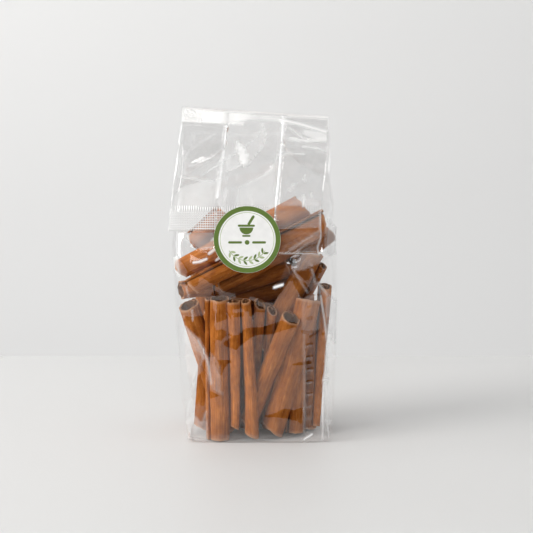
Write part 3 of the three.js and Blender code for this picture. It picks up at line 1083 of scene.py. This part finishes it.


# The third number of a pane or a crease is its whiteness: partly the white of creased film, partly painted
# highlights, glints and haze.
FRONT_PANES = [
    # panes that lean back
    (0, -0.12, 0, [(-39.5, 70.5, 73), (-37.5, 65, 73), (-33.5, 60.5, 73), (-28.5, 56, 74)]),
    (0, -0.10, 0, [(-27, 52, 82.5), (-24.5, 49, 82.5), (-21.5, 49, 82.5)]),
    (0, -0.12, 0, [(-20.5, 69, 82.5), (-18, 70, 82.5), (-14, 71.5, 82.5)]),
    (0, -0.12, 0, [(-20, 59.5, 65.5), (-18, 58.5, 66.5), (-16, 61, 65.5)]),
    (0, -0.12, 0, [(-16, 56.5, 59.5), (-13.5, 54.5, 60.5)]),
    (0, -0.12, 0, [(-22, 48, 48.5), (-20.5, 42, 49), (-18, 37.5, 49), (-16, 43.5, 49), (-13, 48, 49)]),
    (0, -0.14, 0, [(-24.5, 25, 31.5), (-22, 26, 31), (-18, 27.5, 28)]),
    (0.05, -0.14, 0, [(-34, 21, 34), (-31.5, 20, 40), (-29.5, 18.5, 49.5), (-27, 21, 47.5)]),
    (0, -0.12, 0, [(-14.5, 75.5, 83), (-12.5, 70, 83), (-11, 79.5, 83)]),
    (0, -0.12, 0, [(-11, 72.5, 75), (-7, 73, 75.5)]),
    (0, -0.12, 0, [(-13.5, 55.5, 64), (-10.5, 53.5, 62.5), (-7.5, 54.5, 64)]),
    (0, -0.12, 0, [(-7, 56, 65), (-4, 58.5, 67), (0.5, 62, 67.5), (4.5, 62.5, 67.5), (11, 63, 69.5)]),
    (0, -0.12, 0, [(11, 63, 69.5), (15.5, 64.5, 71), (23.5, 67, 70)]),
    (0, -0.12, 0, [(-1, 72.5, 82.5), (1.5, 76, 81.5)]),
    (0, -0.12, 0, [(2, 75.5, 79.5), (5.5, 75, 78.5)]),
    (0, -0.14, 0, [(21, 45, 46), (26, 45, 47.5), (31.5, 46, 48)]),
    (0, -0.25, 0, [(6, 15, 17), (11, 14.5, 18), (17, 14, 21), (22.5, 12, 20), (27.5, 11, 21.5)]),
    (0, -0.10, 0, [(28, 78.5, 80), (30.5, 78, 81), (32.5, 79, 79.5)]),
    (0, -0.12, 0, [(29.5, 71.5, 73), (32, 71, 74), (34, 72.5, 73)]),
    (0, -0.12, 0, [(30.5, 63, 64), (32, 62.5, 65.5), (33.5, 64, 64.5)]),
    (0, -0.12, 0, [(38.5, 61.5, 63), (40.5, 62, 66), (41.5, 64, 66)]),
    (0, -0.16, 0, [(22, 97, 98.5), (23.5, 89, 96), (26, 83, 93.5), (28, 83.5, 90.5), (30, 85, 87.5)]),
    (0, -0.16, 0, [(30.5, 98, 101.5), (32.5, 94, 100), (34, 91, 95.5)]),
    # panes that lean forward, with painted haze as well
    (0, 0.22, 0.06, [(14.5, 109, 119.5), (37, 109, 119.5)]),
    (0, 0.22, 0.30, [(-37.5, 115.5, 119.5), (-29.5, 110.5, 119.5), (-22.5, 111.5, 119.5)]),
    (0, 0.16, 0.34, [(40.5, 108, 126), (42.5, 107, 124), (46, 107, 120)]),
    (0, 0, 0.34, [(-43, 97.5, 105), (-40.5, 95, 106.5)]),
    # milky panes: painted haze where the film would mirror light
    (
        0, 0.10, 0.18,
        [(22, 99, 102), (24.5, 99.5, 104.5), (28, 100, 108), (32.5, 102, 108.5), (37.5, 103.5, 107)],
    ),
    (0, 0.04, 0.08, [(27.5, 65.5, 82), (31.5, 62.5, 85.5), (36, 65.5, 84.5)]),
    (0.05, 0, 0.20, [(-38, 57, 66), (-34, 54, 63), (-30.5, 53, 58.5), (-27.5, 49.5, 53.5)]),
    (0.03, 0, 0.10, [(-37, 42, 54), (-33, 38, 53), (-29.5, 42, 52)]),
    (0.03, 0, 0.12, [(-23.5, 34, 52), (-21, 32, 50), (-19, 30, 44)]),
    (0.02, 0, 0.26, [(-38, 1.5, 12), (-34, 1, 17), (-30, 1, 12), (-26.5, 1, 13)]),
    (0, 0, 0.07, [(-37, 0, 4), (42, 0, 4.5)]),
    (0.04, 0.02, 0.10, [(29, 1, 8), (42, 1, 8)]),
    (0.03, 0, 0.28, [(40.5, 72, 84), (42.5, 60, 82), (46, 56, 80)]),
]
# One on the left and a taller one on the right. Both lean forward.
RISING_PANES = [
    (-0.02, 0.09, 0, [(-39, 82.5, 103.5), (-35, 82.5, 98.5), (-28, 82.5, 95.5), (-15, 83.5, 86.5)]),
    (0, 0.07, 0, [(11, 73, 81), (16.5, 73, 89), (21.5, 73, 98), (26, 74, 102), (38, 76, 105)]),
]
# Short creases one above the other, where the folded seam on the right is pinched.
LADDER_X = 30.5
LADDER = [(0.25, 0.8, 0.10, [(LADDER_X - 1.5, z), (LADDER_X + 2, z + 0.6)]) for z in range(14, 80, 7)]
FRONT_CREASES = [
    # the long fold on the left and what branches from it
    (0.4, 1.3, 0.30, [(-30.5, 59.5), (-28, 54.5), (-25, 45), (-23.5, 35)]),
    (0.3, 0.8, 0.22, [(-38.5, 67), (-30.5, 59.5)]),
    (0.2, 0.7, 0.18, [(-23.5, 32.5), (-17.5, 29)]),
    (0.3, 0.8, 0.22, [(-27.5, 53), (-31.5, 41.5), (-34.5, 32.5)]),
    (0.2, 0.7, 0.14, [(-35, 26.5), (-37, 18.5), (-34.5, 12.5)]),
    (0.3, 1.0, 0.20, [(-26.5, 18.5), (-28.5, 11.5), (-32.5, 6.5)]),
    (0.3, 0.9, 0.35, [(-37, 2.5), (-27, 1.5)]),
    (0.2, 0.7, 0.18, [(-37, 89.5), (-35.5, 82.5)]),
    (0.2, 0.7, 0.22, [(-34, 76.5), (-34, 71)]),
    # the edge of the base, with a painted highlight along it
    (0.0, 0.7, 0.22, [(-37, 1), (-13.5, 1), (20.5, 1.5), (42, 2)]),
    # the folded seam on the right, with painted glints
    (0.3, 0.8, 0.12, [(28, 82.5), (28.5, 5.5)]),
    (0.4, 0.9, 0.55, [(41, 57), (40, 41.5), (39, 36)]),
    (0.4, 0.7, 0.50, [(39, 35), (39, 2)]),
    (0.4, 0.7, 0.25, [(41.5, 35), (42, 12.5)]),
    (0.4, 0.8, 0.80, [(39, 36.5), (41.5, 36.5)]),
    (0.4, 0.75, 1.00, [(28.5, 2), (33, 5)]),
    (0.4, 1.2, 0.25, [(38.5, 11.5), (43.5, 4.5)]),
    # the fan of folds over the broad stick, and a painted glint
    (0.3, 0.7, 0.14, [(21.5, 99.5), (25.5, 93.5), (29.5, 87)]),
    (0.3, 0.7, 0.12, [(21.5, 99.5), (29, 100)]),
    (0.3, 0.8, 0.18, [(32, 99), (33.5, 93.5), (37, 84.5)]),
    (0.4, 0.7, 0.50, [(37, 84.5), (39.5, 71), (41, 57)]),
    (0.4, 1.2, 0.35, [(35.5, 91.5), (43, 82)]),
    (0.4, 0.8, 1.00, [(11.5, 89.5), (16, 91)]),
    # painted glints and folds under the flap
    (0.2, 0.8, 0.80, [(-33, 103), (-29.5, 103.5), (-26, 105)]),
    (0.2, 1.0, 0.65, [(-24.5, 108), (-21, 110.5)]),
    (0.2, 0.7, 0.60, [(-20.5, 104.5), (-19, 105.5)]),
    (0.4, 0.9, 0.26, [(20, 110), (28.5, 115.5), (37, 120.5)]),
    (0.3, 0.8, 0.18, [(24, 109), (29.5, 113.5), (35.5, 117.5)]),
    (0.3, 0.8, 0.12, [(16.5, 111.5), (25.5, 116)]),
    (0.4, 0.7, 0.40, [(37, 129.5), (37, 116.5), (35.5, 111), (36, 107)]),
    (0.3, 0.7, 0.20, [(14.5, 108), (25.5, 108), (35.5, 107)]),
    *LADDER,
]
FLAP_PANES = [
    # translucent panes
    (0.03, -0.02, 0.12, [(-16.5, 153.5, 157.5), (-11.5, 154.5, 161.5), (-4.5, 156.5, 166), (5.5, 167, 176)]),
    (0.03, 0, 0.36, [(-45, 132.5, 138), (-39.5, 132.5, 144), (-29.5, 132.5, 147), (-23, 132.5, 148)]),
    (0, 0.03, 0.30, [(-22.5, 133, 147), (-17.5, 133, 149.5)]),
    (0.02, 0.02, 0.26, [(-9, 133.5, 144), (1, 133.5, 148), (7, 133.5, 150), (12, 133.5, 156)]),
    (0.02, 0, 0.17, [(16, 135, 136.5), (24, 135, 138.5), (35.5, 134, 136)]),
    # painted highlights: bright wedges
    (0.10, -0.06, 0.80, [(-9.5, 166, 170), (-7, 158.5, 167), (-4.5, 156, 164.5), (-3.5, 157, 161.5)]),
    # the shoulder of the fold, with a painted reflection of the light above
    (0, 0.45, 0, [(-39.5, 179, 186), (-34, 179, 185), (-29, 179, 182)]),
    (0, 0, 0.30, [(-29, 181, 185), (-14, 179.5, 186), (-10, 180.5, 186)]),
    (0, 0, 0.45, [(-10, 180.5, 186), (-3, 181.5, 183.5), (14.5, 181, 181.8)]),
    (0, 0, 0.42, [(28, 173.5, 175), (33, 171.5, 174.5), (37, 169.5, 174), (40.5, 169.5, 172.5)]),
]
FLAP_CREASES = [
    # the folded edges of the side gussets
    (0.2, 0.7, 0.34, [(-14, 176.5), (-15, 170), (-17.5, 159), (-18, 150.5), (-19.5, 134)]),
    (0.2, 0.7, 0.22, [(-19.5, 159), (-20.5, 150.5), (-21.5, 134)]),
    (0.2, 0.6, 0.22, [(-15, 152.5), (-14, 134)]),
    (0.2, 0.7, 0.30, [(15.5, 180.5), (14, 164.5), (12.5, 150.5), (10, 133)]),
    (0.2, 0.7, 0.30, [(15.5, 178.5), (16.5, 171.5), (15.5, 164.5)]),
    (0.3, 1.1, 0.30, [(13.5, 163.5), (12, 157), (9, 152), (2.5, 149), (-5, 145)]),
    # the leaf-shaped fold in the middle
    (0.2, 0.7, 0.28, [(5.5, 177), (1.5, 171.5), (-4.5, 166.5), (-11.5, 162), (-17.5, 158), (-27.5, 151.5)]),
    (0.2, 0.7, 0.32, [(6, 176.5), (7, 171), (4.5, 166), (-1, 159), (-8, 156), (-14.5, 153)]),
    # the left panel
    (0.2, 0.7, 0.22, [(-21, 173.5), (-33.5, 174), (-33, 166.5)]),
    (0.2, 0.7, 0.22, [(-21, 173.5), (-35, 165), (-38.5, 158.5)]),
    (0.2, 0.7, 0.18, [(-40, 170), (-35, 165.5)]),
    (0.2, 0.9, 0.30, [(-40.5, 150), (-32.5, 149), (-23, 146.5)]),
    (0.2, 1.0, 0.55, [(-39.5, 175), (-41.5, 156.5), (-43, 148.5), (-46, 134)]),
    (0.2, 0.7, 0.20, [(-39, 169.5), (-39.5, 134)]),
    # the right panel
    (0.2, 0.7, 0.60, [(41, 163), (39, 148.5), (38, 133)]),
    (0.2, 0.8, 0.30, [(18, 178), (29, 170)]),
    (0.2, 0.9, 0.45, [(20, 170.5), (30, 169.5), (40.5, 170)]),
    (0.2, 0.8, 0.35, [(27.5, 166.5), (35, 166), (40.5, 163.5)]),
    (0.2, 0.8, 0.35, [(14.5, 162), (20, 163), (28, 162.5)]),
    (0.2, 0.7, 0.28, [(19, 142.5), (21.5, 146), (24, 146.5), (20, 141.5)]),
    (0.2, 0.8, 0.60, [(27.5, 140), (27.5, 134)]),
    (0.2, 0.7, 0.45, [(32, 141.5), (32, 139)]),
    (0.2, 0.7, 0.45, [(28, 150.5), (28.5, 147.5)]),
    (0.2, 2.0, 0.40, [(-1.5, 139.5), (-1, 134.5)]),
    # the edge of the fold's shoulder, with a painted highlight along it
    (0.1, 1.0, 0.65, [(14.5, 181), (26, 178.5), (40, 174.5)]),
    (0.1, 0.7, 0.50, [(-38.5, 186.5), (-34, 184.5), (-32, 182.5), (-35, 182.5), (-38.5, 185)]),
    (0.0, 0.7, 0.14, [(-14, 173.5), (14.5, 173.5)]),
]


# %% Buckling the film
SIDE_BUCKLING = 0.5
FRONT_BUCKLING = 0.14
NECK_BUCKLING = 0.45
FLAP_BUCKLING = 0.14
SMALL_SHARE = 0.3

# The ring that is measured for all of them, and the depth before which the film is its front.
MEASURED_ROW = 60
IN_FRONT = -5

steps_up = np.linalg.norm(np.diff(grid[:, MIDDLE_COLUMN], axis=0), axis=1)
measured = grid[MEASURED_ROW]
steps_round = np.linalg.norm(np.roll(measured, -1, 0) - measured, axis=1)
lengthwise = np.concatenate([[0], np.cumsum(steps_up)])[:, None] * np.ones((1, COLUMNS))
roundwise = np.concatenate([[0], np.cumsum(steps_round)[:-1]])[None, :] * np.ones((ROWS, 1))
row = np.arange(ROWS)[:, None] * np.ones((1, COLUMNS))
upright = (row <= BODY_ROWS) * smooth(2, 10, grid[..., 2])
in_neck = upright * smooth(120, 138, grid[..., 2])
hanging = (row > FLAP_FROM) * 1.0
outside = (row > OUTSIDE_FROM) * 1.0
buckling = np.full((1, COLUMNS), SIDE_BUCKLING)
buckling[:, AHEAD] = FRONT_BUCKLING

facets = facet_heights(roundwise, lengthwise, 11, 17, seed=5)
small = facet_heights(roundwise, lengthwise, 5.5, 8, seed=11)
amount = upright * buckling + in_neck * NECK_BUCKLING + hanging * FLAP_BUCKLING
height = facets * amount + small * amount * SMALL_SHARE
white_and_painted_glints = np.zeros(height.shape)
x, z = grid[..., 0], grid[..., 2]
in_front = (row <= BODY_ROWS) & (grid[..., 1] < IN_FRONT)
for fields, shapes, columns, where in (
    (pane_fields, FRONT_PANES, ALL_ROUND, in_front),
    (rising_fields, RISING_PANES, ALL_ROUND, in_front),
    (crease_fields, FRONT_CREASES, ALL_ROUND, in_front),
    (pane_fields, FLAP_PANES, BEHIND, outside),
    (crease_fields, FLAP_CREASES, BEHIND, outside),
):
    tall, pale = fields(x[:, columns], z[:, columns], shapes)
    height[:, columns] += tall * where[:, columns]
    white_and_painted_glints[:, columns] = np.maximum(white_and_painted_glints[:, columns], pale * where[:, columns])
grid = grid + outward_normals(grid) * height[..., None]
print("crease heights from", round(float(height.min()), 2), "to", round(float(height.max()), 2), "mm")


# %% Keeping the film clear of the sticks and inside its box
LEAST_GAP = 0.12
SOFTENING = 40
FILM_LOW = (-46.95, -28.4, 0.0)
FILM_HIGH = (46.95, 28.3, 188.4)


def clear_sticks(points, outward):
    """Moves a face of the body outwards wherever it would cut a stick's rod, with a soft edge."""
    held = reach_of_sticks(points[..., 0], points[..., 2], outward) + LEAST_GAP
    needed = np.maximum(held - outward * points[..., 1], 0)
    push = needed.copy()
    for _ in range(SOFTENING):
        push[INNER] = np.maximum(mean_of_neighbours(push), needed[INNER])
    points[..., 1] += outward * push


clear_sticks(grid[: BODY_ROWS + 1, AHEAD], -1)
clear_sticks(grid[: BODY_ROWS + 1, BEHIND], 1)
grid = np.clip(grid, FILM_LOW, FILM_HIGH)
print("film box:", grid.min((0, 1)).round(1), grid.max((0, 1)).round(1))

# %% [markdown]
# ### Clear film
#
# Film this thin doesn't bend light. It lets nearly all of it through and mirrors a little, about
# 8 percent where it is seen square on and far more where it is seen edge on. So its finish mixes
# a transparent and a glossy shader by the angle, which is also quick to render. Real refraction
# through a wall this thin would cost time and change nothing.
#
# The same film takes four finishes. The flap is cloudier, because it is several layers. The seal
# at its end is pressed with fine crossed lines, whose ridges are painted white as highlights that
# fade towards the right. The base lies on the table and mirrors little.


# %% Film finish
CRIMP_PITCH = 0.00128
# How white the crimp's painted highlights are, and across which places they fade.
CRIMP_HIGHLIGHT_WHITE = 0.8
CRIMP_HIGHLIGHT_FADES = (-0.038, 0.010)
CROSSED_BELOW = (0.1310, 0.1330)


def film_finish(name, square_on, milk, edge_on=1.0, crimped=False):
    """Clear film; it mirrors the shares square_on and edge_on, and milk is how cloudy it is."""
    material, tree = new_material(name)
    place = object_place(tree)
    facing = add_node(tree, "LayerWeight", {"Blend": 0.5}).outputs["Facing"]
    steep = maths(tree, "POWER", facing, 4.5)
    mirrored = maths(tree, "MULTIPLY", steep, edge_on - square_on)
    share = maths(tree, "ADD", mirrored, square_on, clamp=True)
    waves = noise_over(tree, place, 140.0, 3.0)
    dust = noise_over(tree, place, 60.0, 4.0)
    cloudy = spread(tree, dust, 0.35, 0.75, milk * 0.4, milk * 1.6)
    # The whiteness adds the white diffuse too: partly creased film, partly painted highlights, glints and
    # haze.
    amount = maths(tree, "ADD", cloudy, attribute(tree, "white_and_painted_glints"), clamp=True)
    height = waves
    depth = 0.0001
    if crimped:
        spots = add_node(tree, "SeparateXYZ", {0: place})
        turns = 2 * math.pi / CRIMP_PITCH
        across = maths(tree, "SINE", maths(tree, "MULTIPLY", spots.outputs[0], turns))
        down = maths(tree, "SINE", maths(tree, "MULTIPLY", spots.outputs[2], turns))
        low = spread(tree, spots.outputs[2], *CROSSED_BELOW, 1.0, 0.0)
        pressed = maths(tree, "MAXIMUM", across, maths(tree, "MULTIPLY", down, low))
        height = maths(tree, "ADD", waves, maths(tree, "MULTIPLY", pressed, 0.9))
        depth = 0.00022
        # The crimp's ridges are painted white as highlights, strongest on the left and fading towards the
        # right.
        highlight_strength = spread(tree, spots.outputs[0], *CRIMP_HIGHLIGHT_FADES, CRIMP_HIGHLIGHT_WHITE, 0.1 * CRIMP_HIGHLIGHT_WHITE)
        lines = maths(tree, "MULTIPLY", spread(tree, pressed, 0.2, 0.9), highlight_strength)
        amount = maths(tree, "ADD", amount, lines, clamp=True)
    bump = add_node(tree, "Bump", {"Height": height, "Strength": 0.35, "Distance": depth})
    rough = spread(tree, waves, 0.3, 0.7, 0.02, 0.07)
    inputs = {"Color": (1, 1, 1, 1), "Roughness": rough, "Normal": bump.outputs[0]}
    gloss = add_node(tree, "BsdfGlossy", inputs)
    clear = add_node(tree, "BsdfTransparent")
    skin = add_node(tree, "MixShader", {0: share, 1: clear.outputs[0], 2: gloss.outputs[0]})
    cloud = add_node(tree, "BsdfDiffuse", {"Color": (0.9, 0.9, 0.9, 1)})
    milky = add_node(tree, "MixShader", {0: amount, 1: skin.outputs[0], 2: cloud.outputs[0]})
    finish_material(tree, milky.outputs[0])
    return material


clear_film = film_finish("clear_film", 0.085, 0.002)
crimped_film = film_finish("crimped_film", 0.03, 0.004, crimped=True)
flap_film = film_finish("flap_film", 0.055, 0.035)
base_film = film_finish("base_film", 0.04, 0.02, edge_on=0.2)
print("finishes:", clear_film.name, crimped_film.name, flap_film.name, base_film.name)

# %% [markdown]
# ### The film's mesh
#
# A flat grid of the right count is made by an operator, rolled up by moving its points, and its
# two long edges are merged. Its open ends, the base and the sealed edge, are then filled.


# %% Film mesh
def film_mesh(name, points, white_and_painted_glints):
    """The tube as a closed mesh from its field of points in mm and their whiteness."""
    rows, columns = points.shape[:2]
    bm = bmesh.new()
    bmesh.ops.create_grid(bm, x_segments=columns, y_segments=rows - 1, size=1)
    mesh = bpy.data.meshes.new(name)
    bm.to_mesh(mesh)
    bm.free()
    wrapped = np.concatenate([points, points[:, :1]], axis=1)
    mesh.vertices.foreach_set("co", (wrapped * MM).astype(np.float32).ravel())
    ring = mesh.attributes.new("ring", "FLOAT", "POINT")
    ring.data.foreach_set("value", np.repeat(np.arange(rows, dtype=np.float32), columns + 1))
    # The whiteness goes onto the mesh: partly the white of creased film, partly painted highlights and
    # glints.
    creased = mesh.attributes.new("white_and_painted_glints", "FLOAT", "POINT")
    wrapped = np.concatenate([white_and_painted_glints, white_and_painted_glints[:, :1]], axis=1)
    creased.data.foreach_set("value", wrapped.astype(np.float32).ravel())
    bm = bmesh.new()
    bm.from_mesh(mesh)
    mark = bm.verts.layers.float["ring"]
    bmesh.ops.remove_doubles(bm, verts=bm.verts[:], dist=1e-7)
    rim = [e for e in bm.edges if len(e.link_faces) == 1]
    bmesh.ops.contextual_create(bm, geom=[e for e in rim if e.verts[0][mark] < 1])
    bmesh.ops.contextual_create(bm, geom=[e for e in rim if e.verts[0][mark] > rows - 2])
    bmesh.ops.recalc_face_normals(bm, faces=bm.faces[:])
    for face in bm.faces:
        face.smooth = len(face.verts) == 4
        high = face.calc_center_median().z / MM
        if face.verts[0][mark] > FLAP_FROM and high < FLAP_END + CRIMP_HEIGHT:
            face.material_index = 1
        elif high > NECK_FROM:
            face.material_index = 2
        elif len(face.verts) > 4:
            face.material_index = 3
    bm.to_mesh(mesh)
    bm.free()
    return mesh


film_data = film_mesh("film", grid, white_and_painted_glints)
for finish in (clear_film, crimped_film, flap_film, base_film):
    film_data.materials.append(finish)
film = add_object("film", film_data)
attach(film, "root")
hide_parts("bag")
print("film faces:", len(film_data.polygons))

# %% [markdown]
# ## Label
#
# A round paper sticker with a muted green ring. Its print is plain: a mortar with its pestle, a
# divider and a small garland of leaves. It is laid out by rings inset into the disc, and by flat
# bars and leaves just proud of it. The face is smooth coated paper, a little glossy.

# %% Label sizes
LABEL_RADIUS = 18.5
LABEL_THICKNESS = 0.5
LABEL_LEAN = 0.124
LABEL_AT = Vector((-3.5, -25.7, 116.0))

# Of the disc's edge, the green ring, the white gap inside it, the fine line, and the inks' height.
LABEL_ROUNDING = 0.12
RING_WIDTH = 2.65
RING_GAP = 0.75
HAIRLINE = 0.28
PRINT_PROUD = 0.03

# The inks, numbered as the label's finishes are.
PAPER, GREEN, SOFT_GREEN = range(3)


# %% Label finishes
def ink_finish(name, colour, roughness):
    """Coated paper or ink on it, with fibre-fine unevenness."""
    material, tree = new_material(name)
    place = object_place(tree)
    cloud = noise_over(tree, place, 260.0, 4.0)
    tone = ramp(tree, cloud, [(0.3, [c * 0.93 for c in colour]), (0.7, colour)])
    fibre = noise_over(tree, place, 2600.0, 2.0)
    bump = add_node(tree, "Bump", {"Height": fibre, "Strength": 0.15, "Distance": 0.00005})
    rough = spread(tree, cloud, 0.3, 0.7, roughness - 0.05, roughness + 0.05)
    inputs = {"Base Color": tone, "Roughness": rough, "Normal": bump.outputs[0]}
    body = add_node(tree, "BsdfPrincipled", inputs)
    finish_material(tree, body.outputs[0])
    return material


paper = ink_finish("label_paper", (0.88, 0.88, 0.87), 0.42)
green_ink = ink_finish("green_ink", (0.115, 0.185, 0.034), 0.38)
soft_ink = ink_finish("soft_green_ink", (0.42, 0.50, 0.28), 0.4)
print("label finishes:", paper.name, green_ink.name, soft_ink.name)


# %% Label disc
def label_disc():
    """The disc, its ring and a thin inner line, as rings inset into one round face."""
    bm = bmesh.new()
    bmesh.ops.create_circle(bm, cap_ends=True, radius=LABEL_RADIUS, segments=128)
    grown = bmesh.ops.extrude_face_region(bm, geom=bm.faces[:])
    lifted = [g for g in grown["geom"] if isinstance(g, bmesh.types.BMVert)]
    bmesh.ops.translate(bm, verts=lifted, vec=(0, 0, LABEL_THICKNESS))
    bmesh.ops.recalc_face_normals(bm, faces=bm.faces[:])

    def top_face():
        """The largest of the faces on top."""
        return max(bm.faces, key=lambda f: (round(f.calc_center_median().z, 4), f.calc_area()))

    bmesh.ops.bevel(
        bm,
        geom=top_face().edges[:],
        offset=LABEL_ROUNDING,
        affect="EDGES",
        segments=2,
        profile=0.5,
        material=-1,
    )
    face = top_face()
    for width, ink in ((RING_WIDTH, GREEN), (RING_GAP, PAPER), (HAIRLINE, SOFT_GREEN)):
        for ring in bmesh.ops.inset_region(bm, faces=[face], thickness=width)["faces"]:
            ring.material_index = ink
    rounded_from = LABEL_THICKNESS - LABEL_ROUNDING - 0.01
    for f in bm.faces:
        rounded = f.normal.z < 0.9 and f.calc_center_median().z > rounded_from
        if rounded and f.material_index == PAPER:
            f.material_index = GREEN
    return bm


# %% Shapes of the print
def lay_print(bm, verts, centre, angle, ink):
    """Turns a flat shape, lays it just proud of the paper and inks it."""
    turn = Matrix.Rotation(math.radians(angle), 4, "Z")
    move = Matrix.Translation((*centre, LABEL_THICKNESS + PRINT_PROUD))
    bmesh.ops.transform(bm, matrix=move @ turn, verts=verts)
    for face in {f for v in verts for f in v.link_faces}:
        face.material_index = ink


def add_bar(bm, centre, size, angle, ink):
    """A flat bar with round ends."""
    half = size[1] / 2
    verts = bmesh.ops.create_circle(bm, cap_ends=True, radius=half, segments=24)["verts"]
    pulled = size[0] / 2 - half
    for v in verts:
        v.co.x += pulled if v.co.x > 0 else -pulled
    lay_print(bm, verts, centre, angle, ink)


def add_leaf(bm, centre, size, angle, ink):
    """A small pointed leaf."""
    verts = bmesh.ops.create_circle(bm, cap_ends=True, radius=size[0] / 2, segments=20)["verts"]
    for v in verts:
        v.co.y *= size[1] / size[0] * (1 - (2 * v.co.x / size[0]) ** 2) ** 0.25
    lay_print(bm, verts, centre, angle, ink)


def add_bowl(bm, centre, radius, ink):
    """The lower half of a round, as the bowl of a mortar."""
    verts = bmesh.ops.create_circle(bm, cap_ends=True, radius=radius, segments=48)["verts"]
    lay_print(bm, verts, centre, 0, ink)
    faces = {f for v in verts for f in v.link_faces}
    edges = {e for v in verts for e in v.link_edges}
    bmesh.ops.bisect_plane(
        bm,
        geom=[*verts, *edges, *faces],
        plane_co=(*centre, 0),
        plane_no=(0, 1, 0),
        clear_outer=True,
    )


# %% The print: a mortar, a divider and a garland
MORTAR_AT = (-0.4, 6.6)
BOWL_RADIUS = 3.8
DIVIDER_Y = -1.6
GARLAND_RADIUS = 11.6
GARLAND_START = 219
SPRIGS = 8
SPRIG_STEP = 14.6
LEAF = (3.0, 1.2)


def from_mortar(across, up):
    """A place beside the middle of the mortar."""
    return (MORTAR_AT[0] + across, MORTAR_AT[1] + up)


def on_circle(radius, angle):
    """A place on a circle round the middle of the label."""
    return [radius * turn(math.radians(angle)) for turn in (math.cos, math.sin)]


label_mesh = label_disc()
add_bowl(label_mesh, MORTAR_AT, BOWL_RADIUS, GREEN)
add_bar(label_mesh, from_mortar(0, 1.0), (9.4, 1.2), 0, GREEN)
add_bar(label_mesh, from_mortar(0, -4.6), (4.6, 1.0), 0, GREEN)
add_bar(label_mesh, from_mortar(2.6, 4.0), (6.0, 1.5), 58, GREEN)
for side in (-1, 1):
    add_bar(label_mesh, (side * 6.6, DIVIDER_Y), (7.6, 1.3), 0, GREEN)
add_bar(label_mesh, (0, DIVIDER_Y), (2.6, 2.59), 0, GREEN)
for number in range(SPRIGS):
    angle = GARLAND_START + number * SPRIG_STEP
    leaf_ink = GREEN if number % 2 else SOFT_GREEN
    add_bar(label_mesh, on_circle(GARLAND_RADIUS, angle), (3.0, 0.45), angle + 90, SOFT_GREEN)
    for side in (-1, 1):
        spot = on_circle(GARLAND_RADIUS + 1.25 * side, angle + 3)
        add_leaf(label_mesh, spot, LEAF, angle + 90 - 42 * side, leaf_ink)
for f in label_mesh.faces:
    if f.normal.z < -0.5 and f.calc_center_median().z > LABEL_THICKNESS:
        f.normal_flip()
lean = Matrix.Rotation(math.pi / 2 - math.atan(LABEL_LEAN), 4, "X")
place = Matrix.Scale(MM, 4) @ Matrix.Translation(LABEL_AT) @ lean
bmesh.ops.transform(label_mesh, matrix=place, verts=label_mesh.verts[:])
label_data = bpy.data.meshes.new("round_label")
label_mesh.to_mesh(label_data)
label_mesh.free()
for ink in (paper, green_ink, soft_ink):
    label_data.materials.append(ink)
label = add_object("round_label", label_data)
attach(label, "root")
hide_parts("label")
print("label faces:", len(label_data.polygons))
